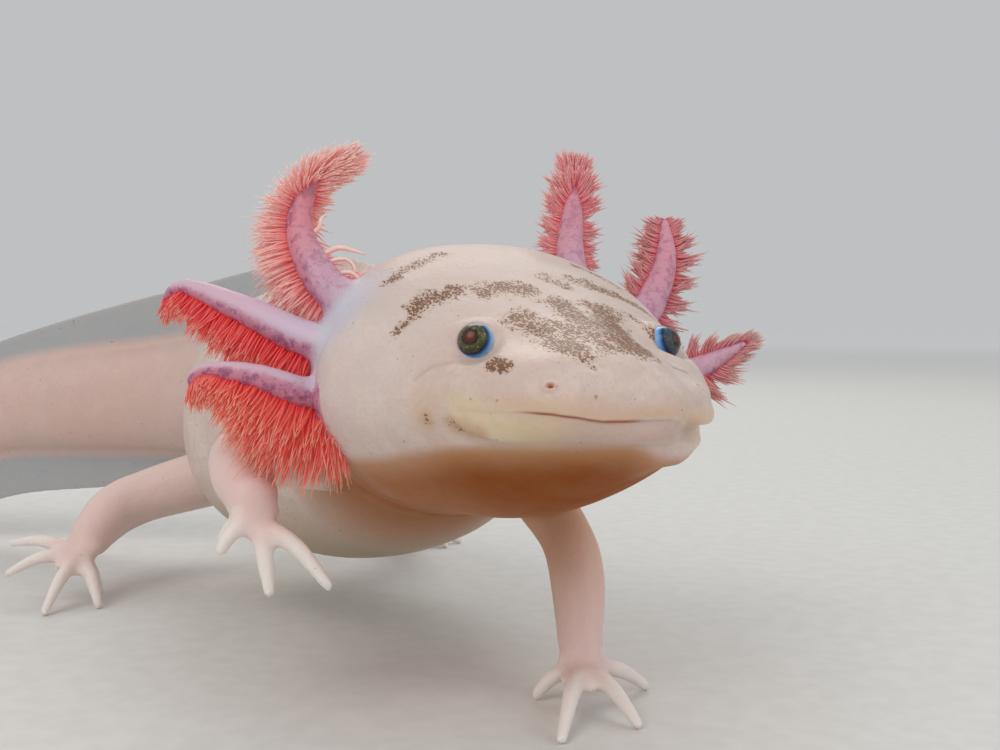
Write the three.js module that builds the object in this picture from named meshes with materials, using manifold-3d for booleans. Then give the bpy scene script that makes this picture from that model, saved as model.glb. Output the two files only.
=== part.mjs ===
// Axolotl: a still, life-size model of a large adult, standing on three feet with the right forefoot lifted.
//
// Millimetres, +Z up. The animal is laid out in its own axes first: x = 0 at the tip of the snout and falling
// towards the tail, y to the animal's left, z = 0 on the floor. The last lines centre it on its box.
// A "station" is a distance behind the tip of the snout, measured along the backbone.

import * as THREE from "three";
import { mergeVertices } from "three/addons/utils/BufferGeometryUtils.js";
import Module from "manifold-3d";

// ---- driving dimensions ----

const GAP = 0.3; // left between neighbouring pieces
const CHEST_STARTS = 46; // stations where the body is parted
const BELLY_STARTS = 82;
const TAIL_STARTS = 114;
const TAIL_MIDDLE_STARTS = 150;
const TAIL_TIP_STARTS = 190;
const TAIL_ENDS = 223;

const TRUNK_BOW = 5; // degrees that the trunk bows off the head's line
const TAIL_TURN = 52; // degrees that the tail swings to the right
const TAIL_TURN_STARTS = 98;
const TAIL_TURN_LENGTH = 60;
const TIP_RETURN = 34; // degrees that the tip of the tail curls back

const MOUTH_HEIGHT = 34;
const MOUTH_CORNER = 15;

const EYE_STATION = 14;
const EYE_OFFSET = 11.4; // from the middle of the head
const EYE_RADIUS = 2.25;
const EYE_INSET = 1.15; // depth of the eyeball's centre under the skin

// Half width, top, bottom and height of the widest line, at the stations that give the body its shape.
const BODY = [
  { name: "snout tip", at: 0, half: 0, top: 34.6, bottom: 32.8, widest: 33.8 },
  { name: "lip", at: 1, half: 6.4, top: 37.6, bottom: 31.3, widest: 34.2 },
  { name: "nostrils", at: 3, half: 9.5, top: 39.5, bottom: 29.6, widest: 34.3 },
  { name: "chin", at: 7, half: 12.4, top: 41.2, bottom: 27.2, widest: 34.3 },
  { name: "eyes", at: 14, half: 15.2, top: 43.2, bottom: 24, widest: 34.2 },
  { name: "jaw corner", at: 21, half: 18, top: 46, bottom: 21.9, widest: 34.2 },
  { name: "cheeks", at: 29, half: 20.7, top: 49.4, bottom: 20.6, widest: 34.6 },
  { name: "gills", at: 36, half: 20.6, top: 51.2, bottom: 20, widest: 34.6 },
  { name: "neck", at: 47, half: 17.2, top: 50.4, bottom: 17.2, widest: 32 },
  { name: "shoulders", at: 56, half: 18.2, top: 49, bottom: 12.6, widest: 29 },
  { name: "ribs", at: 70, half: 21, top: 48.6, bottom: 9.2, widest: 27 },
  { name: "belly", at: 84, half: 21.4, top: 48.2, bottom: 8.4, widest: 26.5 },
  { name: "loins", at: 98, half: 18, top: 46.2, bottom: 10.4, widest: 27 },
  { name: "hips", at: 108, half: 13.6, top: 43.2, bottom: 14, widest: 28 },
  { name: "vent", at: 118, half: 9.8, top: 40.4, bottom: 16.8, widest: 28.5 },
  { name: "tail base", at: 135, half: 7.2, top: 37.8, bottom: 18.2, widest: 28 },
  { name: "tail middle", at: 168, half: 4.8, top: 33.6, bottom: 17.6, widest: 25.6 },
  { name: "tail sag", at: 190, half: 3.2, top: 25.6, bottom: 11.6, widest: 18.6 },
  { name: "tail end", at: 206, half: 2.1, top: 16.5, bottom: 6.6, widest: 11.5 },
  { name: "tail point", at: 219, half: 0.6, top: 8.4, bottom: 5.2, widest: 6.8 },
];

// Heights of the fins' free edges. The dorsal fin starts low behind the head, and the ventral fin at the vent.
const DORSAL_EDGE = [
  { at: 58, height: 49.6 },
  { at: 68, height: 50.6 },
  { at: 90, height: 51 },
  { at: 112, height: 50.4 },
  { at: 135, height: 47.4 },
  { at: 168, height: 39.4 },
  { at: 190, height: 31.4 },
  { at: 206, height: 22.6 },
  { at: 217, height: 13 },
  { at: 223, height: 8.4 },
];
const VENTRAL_EDGE = [
  { at: 121, height: 16.2 },
  { at: 135, height: 13.8 },
  { at: 150, height: 11.2 },
  { at: 168, height: 9.4 },
  { at: 182, height: 5.6 },
  { at: 196, height: 0 },
  { at: 210, height: 0 },
  { at: 217, height: 1.2 },
  { at: 223, height: 4.6 },
];
const FIN_ROOT = 1.1; // half thickness of a fin in the body and at its free edge
const FIN_EDGE = 0.32;

// ---- curves ----

const smooth = (t) => {
  const c = Math.min(1, Math.max(0, t));
  return c * c * (3 - 2 * c);
};
const radians = THREE.MathUtils.degToRad;
const point = (x, y, z) => new THREE.Vector3(x, y, z);

// A monotone cubic through (x, y) pairs: it never overshoots between two stations.
function monotone(xs, ys) {
  const slopes = xs.slice(1).map((x, i) => (ys[i + 1] - ys[i]) / (x - xs[i]));
  const tangents = xs.map((_, i) => {
    if (i === 0) return slopes[0];
    if (i === xs.length - 1) return slopes[i - 1];
    const [a, b] = [slopes[i - 1], slopes[i]];
    return a * b <= 0 ? 0 : (2 * a * b) / (a + b);
  });
  return (x) => {
    let i = 0;
    while (i < xs.length - 2 && x > xs[i + 1]) i++;
    const width = xs[i + 1] - xs[i];
    const t = Math.min(1, Math.max(0, (x - xs[i]) / width));
    const rise = ys[i + 1] - ys[i];
    const start = tangents[i] * width;
    const end = tangents[i + 1] * width;
    return ys[i] + t * (start + t * (3 * rise - 2 * start - end + t * (start + end - 2 * rise)));
  };
}

// The body's measures run over the square root of the station, which makes the snout round.
function bodyMeasure(key) {
  const along = monotone(BODY.map((b) => Math.sqrt(b.at)), BODY.map((b) => b[key]));
  return (s) => along(Math.sqrt(s));
}
const measure = {
  half: bodyMeasure("half"),
  top: bodyMeasure("top"),
  bottom: bodyMeasure("bottom"),
  widest: bodyMeasure("widest"),
};
const dorsalEdge = monotone(DORSAL_EDGE.map((e) => e.at), DORSAL_EDGE.map((e) => e.height));
const ventralEdge = monotone(VENTRAL_EDGE.map((e) => e.at), VENTRAL_EDGE.map((e) => e.height));

// The backbone seen from above, as points a millimetre apart: straight under the head, a slight bow along the
// trunk, then a swing to the right and a curl back at the tip.
function heading(s) {
  const bow = TRUNK_BOW * Math.sin(Math.PI * smooth((s - 40) / 90));
  const swing = TAIL_TURN * smooth((s - TAIL_TURN_STARTS) / TAIL_TURN_LENGTH);
  const curl = TIP_RETURN * smooth((s - 172) / 50);
  return radians(bow + swing - curl);
}
const backbone = [point(0, 0, 0)];
for (let s = 1; s <= TAIL_ENDS + 1; s++) {
  const h = heading(s - 0.5);
  backbone.push(backbone[s - 1].clone().add(point(-Math.cos(h), -Math.sin(h), 0)));
}
function onBackbone(s) {
  const i = Math.min(backbone.length - 2, Math.floor(s));
  return backbone[i].clone().lerp(backbone[i + 1], s - i);
}
// A point of the body at a station, so far to the left and so high.
function bodyPoint(s, left, height) {
  const h = heading(s);
  const p = onBackbone(s);
  return point(p.x - Math.sin(h) * left, p.y + Math.cos(h) * left, height);
}

// ---- solids ----

const wasm = await Module();
wasm.setup();

function solidOf(geometry) {
  const bare = geometry.clone();
  bare.deleteAttribute("normal");
  bare.deleteAttribute("uv");
  const merged = mergeVertices(bare, 1e-4);
  const mesh = new wasm.Mesh({
    numProp: 3,
    vertProperties: merged.attributes.position.array,
    triVerts: new Uint32Array(merged.index.array),
  });
  return new wasm.Manifold(mesh);
}

function geometryOf(solid) {
  const mesh = solid.getMesh();
  const geometry = new THREE.BufferGeometry();
  geometry.setAttribute("position", new THREE.BufferAttribute(mesh.vertProperties, 3));
  geometry.setIndex(new THREE.BufferAttribute(mesh.triVerts, 1));
  return geometry;
}

// A closed solid through rings of points, each ring with the same count, with a fan over both ends.
function loft(rings) {
  const count = rings[0].length;
  const points = rings.flat();
  const faces = [];
  for (let i = 0; i + 1 < rings.length; i++)
    for (let k = 0; k < count; k++) {
      const a = i * count + k;
      const b = i * count + ((k + 1) % count);
      faces.push(a, b, b + count, a, b + count, a + count);
    }
  for (const [ring, reversed] of [[0, true], [rings.length - 1, false]]) {
    const middle = points.length;
    const sum = rings[ring].reduce((total, p) => total.add(p), point(0, 0, 0));
    points.push(sum.divideScalar(count));
    for (let k = 0; k < count; k++) {
      const a = ring * count + k;
      const b = ring * count + ((k + 1) % count);
      faces.push(middle, reversed ? b : a, reversed ? a : b);
    }
  }
  const volume = faces.reduce(
    (total, _, i) =>
      i % 3 ? total : total + points[faces[i]].dot(points[faces[i + 1]].clone().cross(points[faces[i + 2]])),
    0,
  );
  if (volume < 0) faces.reverse();
  const geometry = new THREE.BufferGeometry().setFromPoints(points);
  geometry.setIndex(faces);
  return solidOf(geometry);
}

function box(low, high) {
  const size = high.clone().sub(low);
  const geometry = new THREE.BoxGeometry(size.x, size.y, size.z);
  return solidOf(geometry.translate(low.x + size.x / 2, low.y + size.y / 2, low.z + size.z / 2));
}
const largest = (solid) => solid.decompose().sort((a, b) => b.volume() - a.volume())[0];
const underFloor = box(point(-400, -300, -50), point(200, 300, 0));

// ---- body ----

const power = (value, exponent) => Math.sign(value) * Math.abs(value) ** exponent;
// How square a section is, above and below its widest line: the head is a flat dome over a narrow jaw.
const crown = (s) => 2 / (2.05 + 0.35 * (1 - smooth((s - 20) / 40)));
const keel = (s) => 2 / (2.15 - 0.42 * (1 - smooth((s - 30) / 25)));

const RING_POINTS = 20;
const HEAD_RINGS = 15; // crowded towards the snout
const TRUNK_STEP = 7; // between rings from the chest to the end of the tail
const LAST_RING = 219;

// One cross-section: a rounded box whose upper and lower halves have their own heights.
function bodyRing(s, grow) {
  const half = measure.half(s) + grow;
  const widest = measure.widest(s);
  const up = measure.top(s) - widest + grow;
  const down = widest - measure.bottom(s) + grow;
  return Array.from({ length: RING_POINTS }, (_, k) => {
    const turn = (2 * Math.PI * k) / RING_POINTS;
    const [c, z] = [Math.cos(turn), Math.sin(turn)];
    const squareness = z > 0 ? crown(s) : keel(s);
    const height = widest + (z > 0 ? up : down) * power(z, squareness);
    return bodyPoint(s, half * power(c, squareness), height);
  });
}

// Every length of the body takes its rings from one list, so that a grown copy clears the body evenly.
const bodyRings = [];
for (let i = 0; i <= HEAD_RINGS; i++) bodyRings.push(0.06 + CHEST_STARTS * (i / HEAD_RINGS) ** 1.7);
for (let s = CHEST_STARTS + TRUNK_STEP; s < LAST_RING; s += TRUNK_STEP) bodyRings.push(s);
function bodyStations(from, to) {
  return [from, ...bodyRings.filter((s) => s > from + 1 && s < to - 1), to];
}
function bodyLength(from, to) {
  return loft(bodyStations(from, to).map((s) => bodyRing(s, 0)));
}

const skull = loft(bodyRings.slice(0, HEAD_RINGS).concat(CHEST_STARTS - GAP / 2).map((s) => bodyRing(s, 0)));
const grownBody = loft(bodyRings.map((s) => bodyRing(s, GAP)));

// ---- eyes: whole balls, set into sockets that open outwards ----

function eyeCentre(side) {
  const share = EYE_OFFSET / measure.half(EYE_STATION);
  const exponent = 2 / crown(EYE_STATION);
  const widest = measure.widest(EYE_STATION);
  const rise = measure.top(EYE_STATION) - widest;
  const skin = widest + rise * (1 - share ** exponent) ** (1 / exponent);
  const outward = point(0.25, side * 0.72, 0.65).normalize();
  return bodyPoint(EYE_STATION, side * EYE_OFFSET, skin).addScaledVector(outward, -EYE_INSET);
}
function roundBall(centre, radius, rings = 4) {
  return solidOf(new THREE.SphereGeometry(radius, rings * 2, rings).translate(centre.x, centre.y, centre.z));
}

// ---- mouth: the lower jaw is parted from the head by a thin cut ----

function jawRoom(grow) {
  const side = new THREE.Shape();
  side.moveTo(4, MOUTH_HEIGHT - 0.2 + grow);
  side.quadraticCurveTo(-10, MOUTH_HEIGHT - 0.6 + grow, -MOUTH_CORNER - grow, MOUTH_HEIGHT + 0.6 + grow);
  side.lineTo(-MOUTH_CORNER - 7 - grow, 10);
  side.lineTo(4, 10);
  const geometry = new THREE.ExtrudeGeometry(side, { depth: 60, bevelEnabled: false, curveSegments: 6 });
  return solidOf(geometry.translate(0, 0, -30).rotateX(Math.PI / 2));
}

// ---- limbs ----

// A tapering tube along a smooth curve through joints. widths are radii at the joints, flat squashes its height.
function limb(joints, widths, { rings = 3, count = 8, flat = 1 } = {}) {
  const curve = new THREE.CatmullRomCurve3(joints, false, "centripetal");
  const radius = monotone(widths.map((_, i) => i / (widths.length - 1)), widths);
  return loft(
    Array.from({ length: rings + 1 }, (_, i) => {
      const t = i / rings;
      const centre = curve.getPointAt(t);
      const along = curve.getTangentAt(t);
      const across = point(along.y, -along.x, 0);
      if (across.lengthSq() < 1e-6) across.set(1, 0, 0);
      across.normalize();
      const upward = across.clone().cross(along).normalize();
      return Array.from({ length: count }, (_, k) => {
        const turn = (2 * Math.PI * k) / count;
        return centre
          .clone()
          .addScaledVector(across, radius(t) * Math.cos(turn))
          .addScaledVector(upward, radius(t) * flat * Math.sin(turn));
      });
    }),
  );
}

const LEGS = [
  {
    name: "foreleg_left",
    root: point(-47, 8, 26),
    middle: point(-32.8, 10.2, 15.8),
    end: point(-27.2, 8.4, 6.2),
    widths: [4.2, 3.1, 2.6],
    palm: point(-25.4, 7.6, 4),
    palmWidth: 2.9,
    toes: [point(-27.6, 2.4, 0.1), point(-13, -1.9, 0.3), point(-13.4, 7.8, 0.3), point(-25.3, 16.4, 0.2)],
  },
  {
    name: "foreleg_right",
    root: point(-47, -10, 26),
    middle: point(-44.4, -25.2, 27),
    end: point(-36, -27, 23.6),
    widths: [4.6, 3.7, 2.9],
    palm: point(-33.9, -27, 21.8),
    palmWidth: 2.9,
    toes: [point(-27.5, -21, 14.8), point(-30.3, -26.7, 14), point(-33.6, -31.3, 18.2), point(-38.5, -29.9, 18.6)],
  },
  {
    name: "hindleg_left",
    root: point(-107, 8, 22),
    middle: point(-112, 21, 15),
    end: point(-120, 23.4, 5.2),
    widths: [5, 3.9, 2.9],
    palm: point(-122.6, 26.4, 1.6),
    palmWidth: 3.3,
    toes: [
      point(-116, 31, 0.3),
      point(-119.5, 35.4, 0.3),
      point(-126, 35.8, 0.3),
      point(-131, 32, 0.3),
      point(-132, 26, 0.3),
    ],
  },
  {
    name: "hindleg_right",
    root: point(-107, -9, 18),
    middle: point(-108.6, -28, 12.8),
    end: point(-103, -33.6, 9.4),
    widths: [5, 4, 3.1],
    palm: point(-100.6, -35.6, 7.6),
    palmWidth: 3.1,
    toes: [
      point(-101.3, -32.5, 0),
      point(-94, -34, 0),
      point(-93.1, -42, 0),
      point(-103.1, -46, 4.5),
      point(-112, -44.4, 7.6),
    ],
  },
];
const TOE = [1.4, 1.15, 0.7]; // radii at its root, knuckle and tip
const UPPER_SHARE = 0.62; // where the upper piece ends, on the way from root to elbow or knee

// Palm and toes in one piece, with a ball at the wrist or ankle. Each toe arches from the palm to its tip.
function foot(leg, grow = 0) {
  const reach = leg.palm.clone().sub(leg.end);
  const ball = leg.palm.clone().addScaledVector(reach, 0.5);
  const widths = [leg.widths[2], leg.palmWidth, leg.palmWidth * 0.55].map((w) => w + grow);
  return roundBall(leg.end, leg.widths[2] + grow).add(limb([leg.end, leg.palm, ball], widths, { flat: 0.62 }));
}
function toe(leg, tip) {
  const start = leg.palm.clone().addScaledVector(tip.clone().sub(leg.palm), 0.12);
  const knuckle = leg.palm.clone().lerp(tip, 0.55).add(point(0, 0, 0.9));
  return limb([start, knuckle, tip], TOE, { rings: 3, count: 6 });
}

function legPieces(leg) {
  const [thick, , thin] = leg.widths;
  const upper = limb([leg.root, leg.middle], [thick, leg.widths[1]], { rings: 1 });
  const lower = limb([leg.middle, leg.end], [leg.widths[1], thin], { rings: 1 });
  const whole = upper.add(roundBall(leg.middle, leg.widths[1])).add(lower);
  const down = leg.middle.clone().sub(leg.root).normalize();
  const part = leg.root.clone().lerp(leg.middle, UPPER_SHARE).dot(down);
  const above = whole.trimByPlane(down.clone().negate().toArray(), GAP / 2 - part);
  const below = whole.trimByPlane(down.toArray(), part + GAP / 2);
  const toes = leg.toes.reduce((made, tip) => made.add(toe(leg, tip)), foot(leg));
  return [
    { name: `${leg.name}_upper`, solid: largest(above.subtract(grownBody)) },
    { name: `${leg.name}_lower`, solid: largest(below.subtract(foot(leg, GAP)).subtract(grownBody)) },
    { name: `${leg.name}_foot`, solid: toes.subtract(underFloor) },
  ];
}

// ---- gills: three stalks on each side, each with a V of two comb-like fringes behind it ----

// The stalk runs from inside the head to its tip, and a share of it is bare. back is the way the fringes lean,
// spread half the angle between them, and reach their length.
const GILLS = [
  {
    name: "gill_right_upper",
    stalk: [
      point(-33, -15.2, 42.8),
      point(-37.6, -18.6, 47.2),
      point(-43.3, -19.2, 53.6),
      point(-43.6, -17.2, 58.2),
      point(-40.4, -13.1, 60.4),
    ],
    back: point(-1, -0.1, 0.2),
    spread: 40,
    reach: 5.6,
    bare: 0.2,
  },
  {
    name: "gill_right_middle",
    stalk: [
      point(-33, -16.6, 39),
      point(-36.4, -21, 40.6),
      point(-41.5, -26.9, 44),
      point(-47.3, -31.9, 46.2),
      point(-49.4, -33.4, 44.8),
    ],
    back: point(-0.68, 0, -0.73),
    spread: 28,
    reach: 6,
    bare: 0.2,
  },
  {
    name: "gill_right_lower",
    stalk: [
      point(-31.2, -16.5, 34.2),
      point(-33.1, -20.5, 34.2),
      point(-35.5, -27.1, 36.6),
      point(-37.8, -31.9, 37.1),
      point(-38.4, -33.2, 35.4),
    ],
    back: point(0.02, 0, -1),
    spread: 15,
    reach: 6.4,
    bare: 0.2,
  },
  {
    name: "gill_left_upper",
    stalk: [point(-34, 12.5, 42.5), point(-40.5, 14.3, 50.5), point(-43.7, 16.4, 55.5), point(-47.1, 18.7, 62.4)],
    back: point(-0.95, 0.3, -0.3),
    spread: 50,
    reach: 4.6,
    bare: 0.42,
  },
  {
    name: "gill_left_middle",
    stalk: [point(-33, 16.5, 39.6), point(-34.5, 21.5, 43.5), point(-36.2, 25.3, 49.1), point(-40.4, 28, 55.3)],
    back: point(-0.9, 0.5, -0.1),
    spread: 52,
    reach: 4.6,
    bare: 0.36,
  },
  {
    name: "gill_left_lower",
    stalk: [point(-32, 17, 34.6), point(-31.4, 26.6, 36.4), point(-27.6, 31.6, 39.8)],
    back: point(-0.9, -0.2, -0.5),
    spread: 60,
    reach: 4.4,
    bare: 0.36,
  },
];
const STALK = [2.7, 2.4, 1.8, 0.8]; // radii from root to tip
const FRINGE_HALF = 0.28; // half the thickness of a fringe
const FRINGE_TEETH = 8;
const FRINGE_NOTCH = 0.72; // depth of the notches between teeth, as a share of the reach

// One fringe: a thin blade along the stalk whose free edge is toothed, like a row of filaments.
function fringe(gill, side) {
  const curve = new THREE.CatmullRomCurve3(gill.stalk, false, "centripetal");
  const radius = monotone(STALK.map((_, i) => i / (STALK.length - 1)), STALK);
  return loft(
    Array.from({ length: 2 * FRINGE_TEETH + 1 }, (_, i) => {
      const share = i / (2 * FRINGE_TEETH);
      const t = gill.bare + (0.98 - gill.bare) * share;
      const along = curve.getTangentAt(t);
      const back = gill.back.clone().addScaledVector(along, -gill.back.dot(along)).normalize();
      const across = back.clone().cross(along).normalize();
      const lean = radians(gill.spread) * side;
      const out = back.clone().multiplyScalar(Math.cos(lean)).addScaledVector(across, Math.sin(lean));
      const face = out.clone().cross(along).normalize().multiplyScalar(FRINGE_HALF);
      const swell = Math.sin(Math.PI * (0.34 + 0.56 * share)) ** 0.8;
      const start = radius(t) + GAP;
      const length = gill.reach * swell * (i % 2 ? 1 : FRINGE_NOTCH);
      const inner = curve.getPointAt(t).addScaledVector(out, start);
      const outer = inner.clone().addScaledVector(out.addScaledVector(along, 0.35 * share).normalize(), length);
      return [inner.clone().add(face), outer.clone().add(face), outer.clone().sub(face), inner.clone().sub(face)];
    }),
  );
}

function gillPieces(gill) {
  const stalk = limb(gill.stalk, STALK, { rings: 8, count: 7 });
  return [
    { name: `${gill.name}_stalk`, solid: largest(stalk.subtract(grownBody)) },
    { name: `${gill.name}_fringe_a`, solid: largest(fringe(gill, 1).subtract(grownBody)) },
    { name: `${gill.name}_fringe_b`, solid: largest(fringe(gill, -1).subtract(grownBody)) },
  ];
}

// ---- fins ----

// A blade that stands on the body's ridge or hangs from its keel, thinning to its free edge.
function fin(from, to, ridge, edge) {
  return loft(
    bodyStations(from, to).map((s) => {
      const root = ridge(s) + GAP * Math.sign(edge(s) - ridge(s));
      return [
        bodyPoint(s, -FIN_ROOT, root),
        bodyPoint(s, -FIN_EDGE, edge(s)),
        bodyPoint(s, FIN_EDGE, edge(s)),
        bodyPoint(s, FIN_ROOT, root),
      ];
    }),
  );
}

// The end of the tail is one piece: in each section both fins run out from the same small core of muscle.
function tailEnd(from, to) {
  const flank = [60, 30, 0, -30, -60].map(radians);
  return loft(
    bodyStations(from, to).map((s) => {
      const core = Math.min(s, LAST_RING);
      const widest = measure.widest(core);
      const up = measure.top(core) - widest;
      const down = widest - measure.bottom(core);
      const side = (left) =>
        flank.map((turn) => {
          const height = widest + (turn > 0 ? up : down) * Math.sin(turn);
          return bodyPoint(s, left * measure.half(core) * Math.cos(turn), height);
        });
      return [
        bodyPoint(s, -FIN_EDGE, dorsalEdge(s)),
        bodyPoint(s, FIN_EDGE, dorsalEdge(s)),
        ...side(1),
        bodyPoint(s, FIN_EDGE, ventralEdge(s)),
        bodyPoint(s, -FIN_EDGE, ventralEdge(s)),
        ...side(-1).reverse(),
      ];
    }),
  );
}

// ---- assembly ----

const skinColour = new THREE.Color(0.86, 0.74, 0.69);
const finish = {
  skin: { color: skinColour, roughness: 0.42 },
  toes: { color: new THREE.Color(0.93, 0.86, 0.82), roughness: 0.4 },
  fin: { color: new THREE.Color(0.72, 0.72, 0.7), roughness: 0.35 },
  stalk: { color: new THREE.Color(0.8, 0.5, 0.62), roughness: 0.4 },
  fringe: { color: new THREE.Color(0.85, 0.22, 0.2), roughness: 0.45 },
  eye: { color: new THREE.Color(0.05, 0.07, 0.08), roughness: 0.1 },
};

const axolotl = new THREE.Group();
function place(name, solid, look) {
  const material = new THREE.MeshStandardMaterial({ ...finish[look], metalness: 0 });
  const mesh = new THREE.Mesh(geometryOf(solid), material);
  mesh.name = name;
  axolotl.add(mesh);
}

const eyes = { left: eyeCentre(1), right: eyeCentre(-1) };
let head = skull.subtract(jawRoom(GAP));
for (const [side, centre] of Object.entries(eyes)) {
  head = head.subtract(roundBall(centre, EYE_RADIUS + GAP, 6));
  place(`eye_${side}`, roundBall(centre, EYE_RADIUS, 7), "eye");
}
place("head", head, "skin");
place("lower_jaw", skull.intersect(jawRoom(0)), "skin");

place("chest", bodyLength(CHEST_STARTS + GAP / 2, BELLY_STARTS - GAP / 2), "skin");
place("belly", bodyLength(BELLY_STARTS + GAP / 2, TAIL_STARTS - GAP / 2), "skin");
place("tail_base", bodyLength(TAIL_STARTS + GAP / 2, TAIL_MIDDLE_STARTS - GAP / 2), "skin");
place("tail_middle", bodyLength(TAIL_MIDDLE_STARTS + GAP / 2, TAIL_TIP_STARTS - GAP / 2), "skin");

place("tail_tip", tailEnd(TAIL_TIP_STARTS + GAP / 2, TAIL_ENDS), "fin");

place("dorsal_fin_back", fin(DORSAL_EDGE[0].at, TAIL_STARTS - GAP / 2, measure.top, dorsalEdge), "fin");
place("dorsal_fin_tail", fin(TAIL_STARTS + GAP / 2, TAIL_TIP_STARTS - GAP / 2, measure.top, dorsalEdge), "fin");
place("ventral_fin", fin(VENTRAL_EDGE[0].at, TAIL_TIP_STARTS - GAP / 2, measure.bottom, ventralEdge), "fin");

for (const leg of LEGS)
  for (const piece of legPieces(leg)) place(piece.name, piece.solid, piece.name.endsWith("foot") ? "toes" : "skin");
for (const gill of GILLS)
  for (const piece of gillPieces(gill))
    place(piece.name, piece.solid, piece.name.endsWith("stalk") ? "stalk" : "fringe");

const middle = new THREE.Box3().setFromObject(axolotl).getCenter(point(0, 0, 0));
axolotl.position.set(-middle.x, -middle.y, 0);

export default axolotl;
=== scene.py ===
"""A still, life-size model of a pale adult axolotl. Sizes are in millimetres until a mesh is made."""

import math

import bmesh
import bpy
import numpy as np
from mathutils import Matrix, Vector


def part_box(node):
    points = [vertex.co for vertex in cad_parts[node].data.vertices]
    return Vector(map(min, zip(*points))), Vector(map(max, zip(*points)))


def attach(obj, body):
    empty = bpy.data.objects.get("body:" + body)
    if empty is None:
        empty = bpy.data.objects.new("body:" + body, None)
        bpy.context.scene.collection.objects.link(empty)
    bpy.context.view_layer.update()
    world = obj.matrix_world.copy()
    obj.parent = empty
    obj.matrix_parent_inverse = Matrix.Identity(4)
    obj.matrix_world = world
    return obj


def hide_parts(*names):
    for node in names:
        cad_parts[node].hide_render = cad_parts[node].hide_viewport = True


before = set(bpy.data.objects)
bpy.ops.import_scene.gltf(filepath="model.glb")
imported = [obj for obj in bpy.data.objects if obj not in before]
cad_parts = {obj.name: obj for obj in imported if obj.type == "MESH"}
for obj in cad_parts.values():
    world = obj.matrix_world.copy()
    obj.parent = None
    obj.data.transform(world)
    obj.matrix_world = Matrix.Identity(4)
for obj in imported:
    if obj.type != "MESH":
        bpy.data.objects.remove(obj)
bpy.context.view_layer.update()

# ---- backbone ----
# The body is measured at stations along its backbone, which starts at the tip of the snout. It is
# straight under the head, bows a little in the trunk, swings right in the tail and curls back at its tip.

MM = 0.001
HEAD_TIP = 0.06  # the first section of the head stands this far behind the snout's own origin
TAIL_ENDS = 223
STEP = 0.5  # between two stations
TRUNK_BOW = (5, 40, 90)  # degrees, the station where the bend starts, and its length
TAIL_TURN = (52, 98, 60)
TIP_RETURN = (34, 172, 50)


def smooth(t):
    t = np.clip(t, 0, 1)
    return t * t * (3 - 2 * t)


def heading(s):
    """The way the backbone points at a station, in radians."""
    (bow, bow_start, bow_length), (swing, swing_start, swing_length) = TRUNK_BOW, TAIL_TURN
    curl, curl_start, curl_length = TIP_RETURN
    turned = bow * np.sin(np.pi * smooth((s - bow_start) / bow_length))
    turned = turned + swing * smooth((s - swing_start) / swing_length)
    return np.radians(turned - curl * smooth((s - curl_start) / curl_length))


stations = np.arange(0, TAIL_ENDS + 3, STEP)
headings = heading(stations[:-1] + STEP / 2)
steps = np.stack([-np.cos(headings), -np.sin(headings)], 1) * STEP
backbone = np.vstack([[0, 0], np.cumsum(steps, 0)])


def body_point(s, left, height):
    """The place of a point at a station, so far to the left of the backbone and so high."""
    s, left, height = np.broadcast_arrays(s, left, height)
    x = np.interp(s, stations, backbone[:, 0]) - np.sin(heading(s)) * left
    y = np.interp(s, stations, backbone[:, 1]) + np.cos(heading(s)) * left
    return np.stack([x, y, height], -1)


def in_chunks(work, points, size=20000):
    """Runs work on a few thousand points at a time and joins what it returns."""
    parts = [work(points[i : i + size]) for i in range(0, len(points), size)]
    return [np.concatenate(column) for column in zip(*parts)]


def on_backbone(points):
    """The station of each point, and how far left of the backbone it is."""

    def nearest(some):
        gaps = some[:, None, :2] - backbone[None, ::2]
        first = (gaps**2).sum(2).argmin(1) * 2
        s = stations[first]
        gap = some[:, :2] - backbone[first]
        turn = heading(s)
        s = s - gap[:, 0] * np.cos(turn) - gap[:, 1] * np.sin(turn)
        return s, -gap[:, 0] * np.sin(turn) + gap[:, 1] * np.cos(turn)

    return in_chunks(nearest, points)


low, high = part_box("head")
eye_boxes = {side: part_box("eye_" + side) for side in ("right", "left")}
eye_centres = {side: (a + b) / 2 for side, (a, b) in eye_boxes.items()}
snout_x = high.x / MM + HEAD_TIP
middle_y = (eye_centres["right"].y + eye_centres["left"].y) / 2 / MM
origin = np.array([snout_x, middle_y, 0])  # the snout's tip, on the floor, in the part's frame


# ---- skin: body ----
# One soft wet skin covers the animal from snout to tail. Each section of the body is a rounded box,
# with its half width, its top, its underside and the height at which it is widest.

BODY = np.array(
    [  # station, half width, top, underside, height of the widest place
        (0, 0, 34.6, 32.8, 33.8),
        (1, 6.4, 37.6, 31.3, 34.2),
        (3, 9.5, 39.5, 29.6, 34.3),
        (7, 12.4, 41.2, 27.2, 34.3),
        (14, 15.2, 43.2, 24, 34.2),
        (21, 18, 46, 21.9, 34.2),
        (29, 20.7, 49.4, 20.6, 34.6),
        (36, 20.6, 51.2, 20, 34.6),
        (47, 17.2, 50.4, 17.2, 32),
        (56, 18.2, 49, 12.6, 29),
        (70, 21, 48.6, 9.2, 27),
        (84, 21.4, 48.2, 8.4, 26.5),
        (98, 18, 46.2, 10.4, 27),
        (108, 13.6, 43.2, 14, 28),
        (118, 9.8, 40.4, 16.8, 28.5),
        (135, 7.2, 37.8, 18.2, 28),
        (168, 4.8, 33.6, 17.6, 25.6),
        (190, 3.2, 25.6, 11.6, 18.6),
        (206, 2.1, 16.5, 6.6, 11.5),
        (219, 0.6, 8.4, 5.2, 6.8),
    ]
)


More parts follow.
